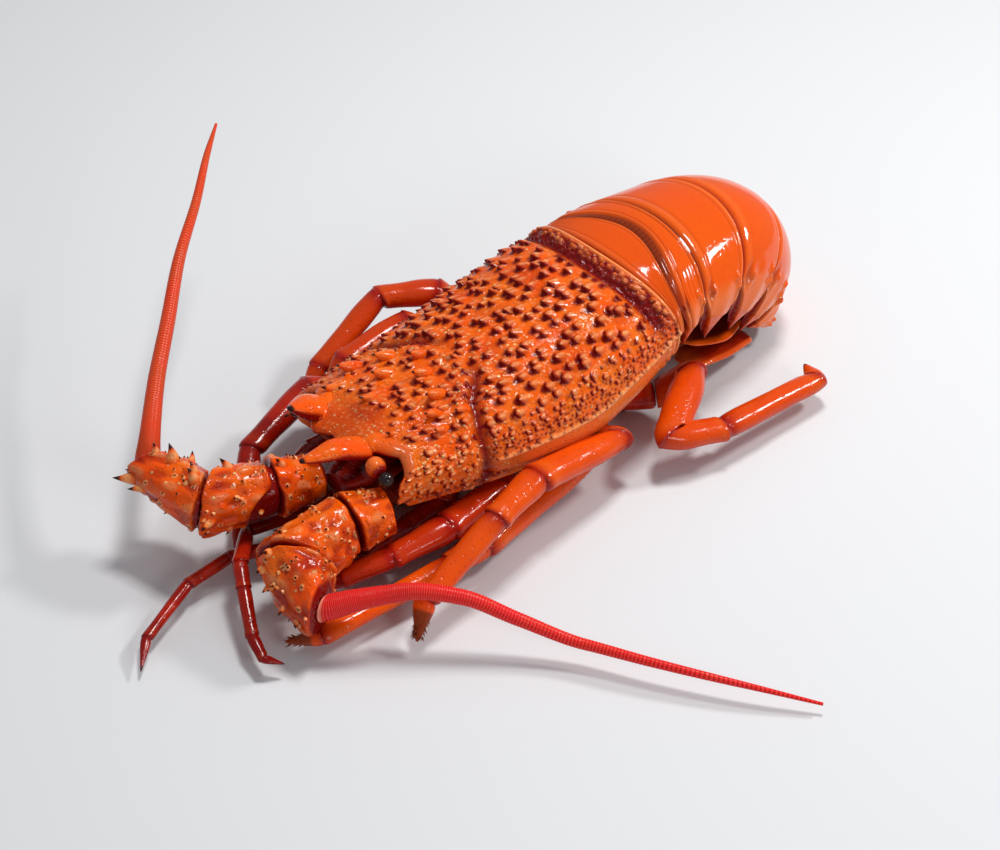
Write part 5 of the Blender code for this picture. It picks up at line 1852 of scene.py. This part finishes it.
def pale_floor():
    """A wide plane just under the animal."""
    corners = [(x * FLOOR_REACH, y * FLOOR_REACH, 0) for x, y in ((-1, -1), (1, -1), (1, 1), (-1, 1))]
    mesh = bpy.data.meshes.new("floor")
    mesh.from_pydata(corners, [], [(0, 1, 2, 3)])
    mesh.materials.append(floor_finish())
    thing = bpy.data.objects.new("floor", mesh)
    link_to_scene(thing)
    thing.location.z = -FLOOR_DROP


def white_room(scene):
    """Even pale light from all sides."""
    world = bpy.data.worlds.new("soft white room")
    world.use_nodes = True
    background = world.node_tree.nodes["Background"]
    background.inputs["Color"].default_value = ROOM_COLOUR
    background.inputs["Strength"].default_value = ROOM_STRENGTH
    scene.world = world


def photo_camera(scene):
    """The camera that the photo was taken with, as far as it could be solved."""
    level = math.cos(CAMERA_ELEVATION)
    back = Vector((
        math.sin(CAMERA_AZIMUTH) * level,
        -math.cos(CAMERA_AZIMUTH) * level,
        math.sin(CAMERA_ELEVATION),
    ))
    lens = bpy.data.cameras.new("camera")
    lens.sensor_width = CAMERA_SENSOR
    lens.lens = CAMERA_LENS
    camera = bpy.data.objects.new("camera", lens)
    link_to_scene(camera)
    camera.location = Vector(CAMERA_TARGET) * MM + back * CAMERA_DISTANCE
    camera.rotation_euler = (-back).to_track_quat("-Z", "Y").to_euler()
    scene.camera = camera


class LOBSTER_OT_stage(bpy.types.Operator):
    """Set up the floor, the light and the camera"""

    bl_idname = "lobster.stage"
    bl_label = "Floor, light and camera"

    def execute(self, context):
        context.scene.view_settings.view_transform = "Standard"
        pale_floor()
        white_room(context.scene)
        for light in LIGHTS:
            soft_light(*light)
        photo_camera(context.scene)
        return {"FINISHED"}


OPERATORS = (
    LOBSTER_OT_shell,
    LOBSTER_OT_horns,
    LOBSTER_OT_breast,
    LOBSTER_OT_legs,
    LOBSTER_OT_tail,
    LOBSTER_OT_fan,
    LOBSTER_OT_feelers,
    LOBSTER_OT_whips,
    LOBSTER_OT_small_limbs,
    LOBSTER_OT_face,
    LOBSTER_OT_eyes,
    LOBSTER_OT_stage,
)


class LOBSTER_PT_panel(bpy.types.Panel):
    """Sizes, colours and building steps of the lobster"""

    bl_label = "Cooked spiny lobster"
    bl_idname = "LOBSTER_PT_panel"
    bl_space_type = "VIEW_3D"
    bl_region_type = "UI"
    bl_category = "Lobster"

    def draw(self, context):
        for group in (context.scene.lobster_sizes, context.scene.lobster_colours):
            box = self.layout.box()
            for name in group.__annotations__:
                box.prop(group, name)
        for operator in OPERATORS:
            self.layout.operator(operator.bl_idname)


CLASSES = (LobsterSizes, LobsterColours, *OPERATORS, LOBSTER_PT_panel)


def register():
    for kind in CLASSES:
        bpy.utils.register_class(kind)
    bpy.types.Scene.lobster_sizes = bpy.props.PointerProperty(type=LobsterSizes)
    bpy.types.Scene.lobster_colours = bpy.props.PointerProperty(type=LobsterColours)


def unregister():
    del bpy.types.Scene.lobster_sizes
    del bpy.types.Scene.lobster_colours
    for kind in reversed(CLASSES):
        bpy.utils.unregister_class(kind)


def main():
    register()
    for operator in OPERATORS:
        family, name = operator.bl_idname.split(".")
        getattr(getattr(bpy.ops, family), name)()


if __name__ == "__main__":
    main()
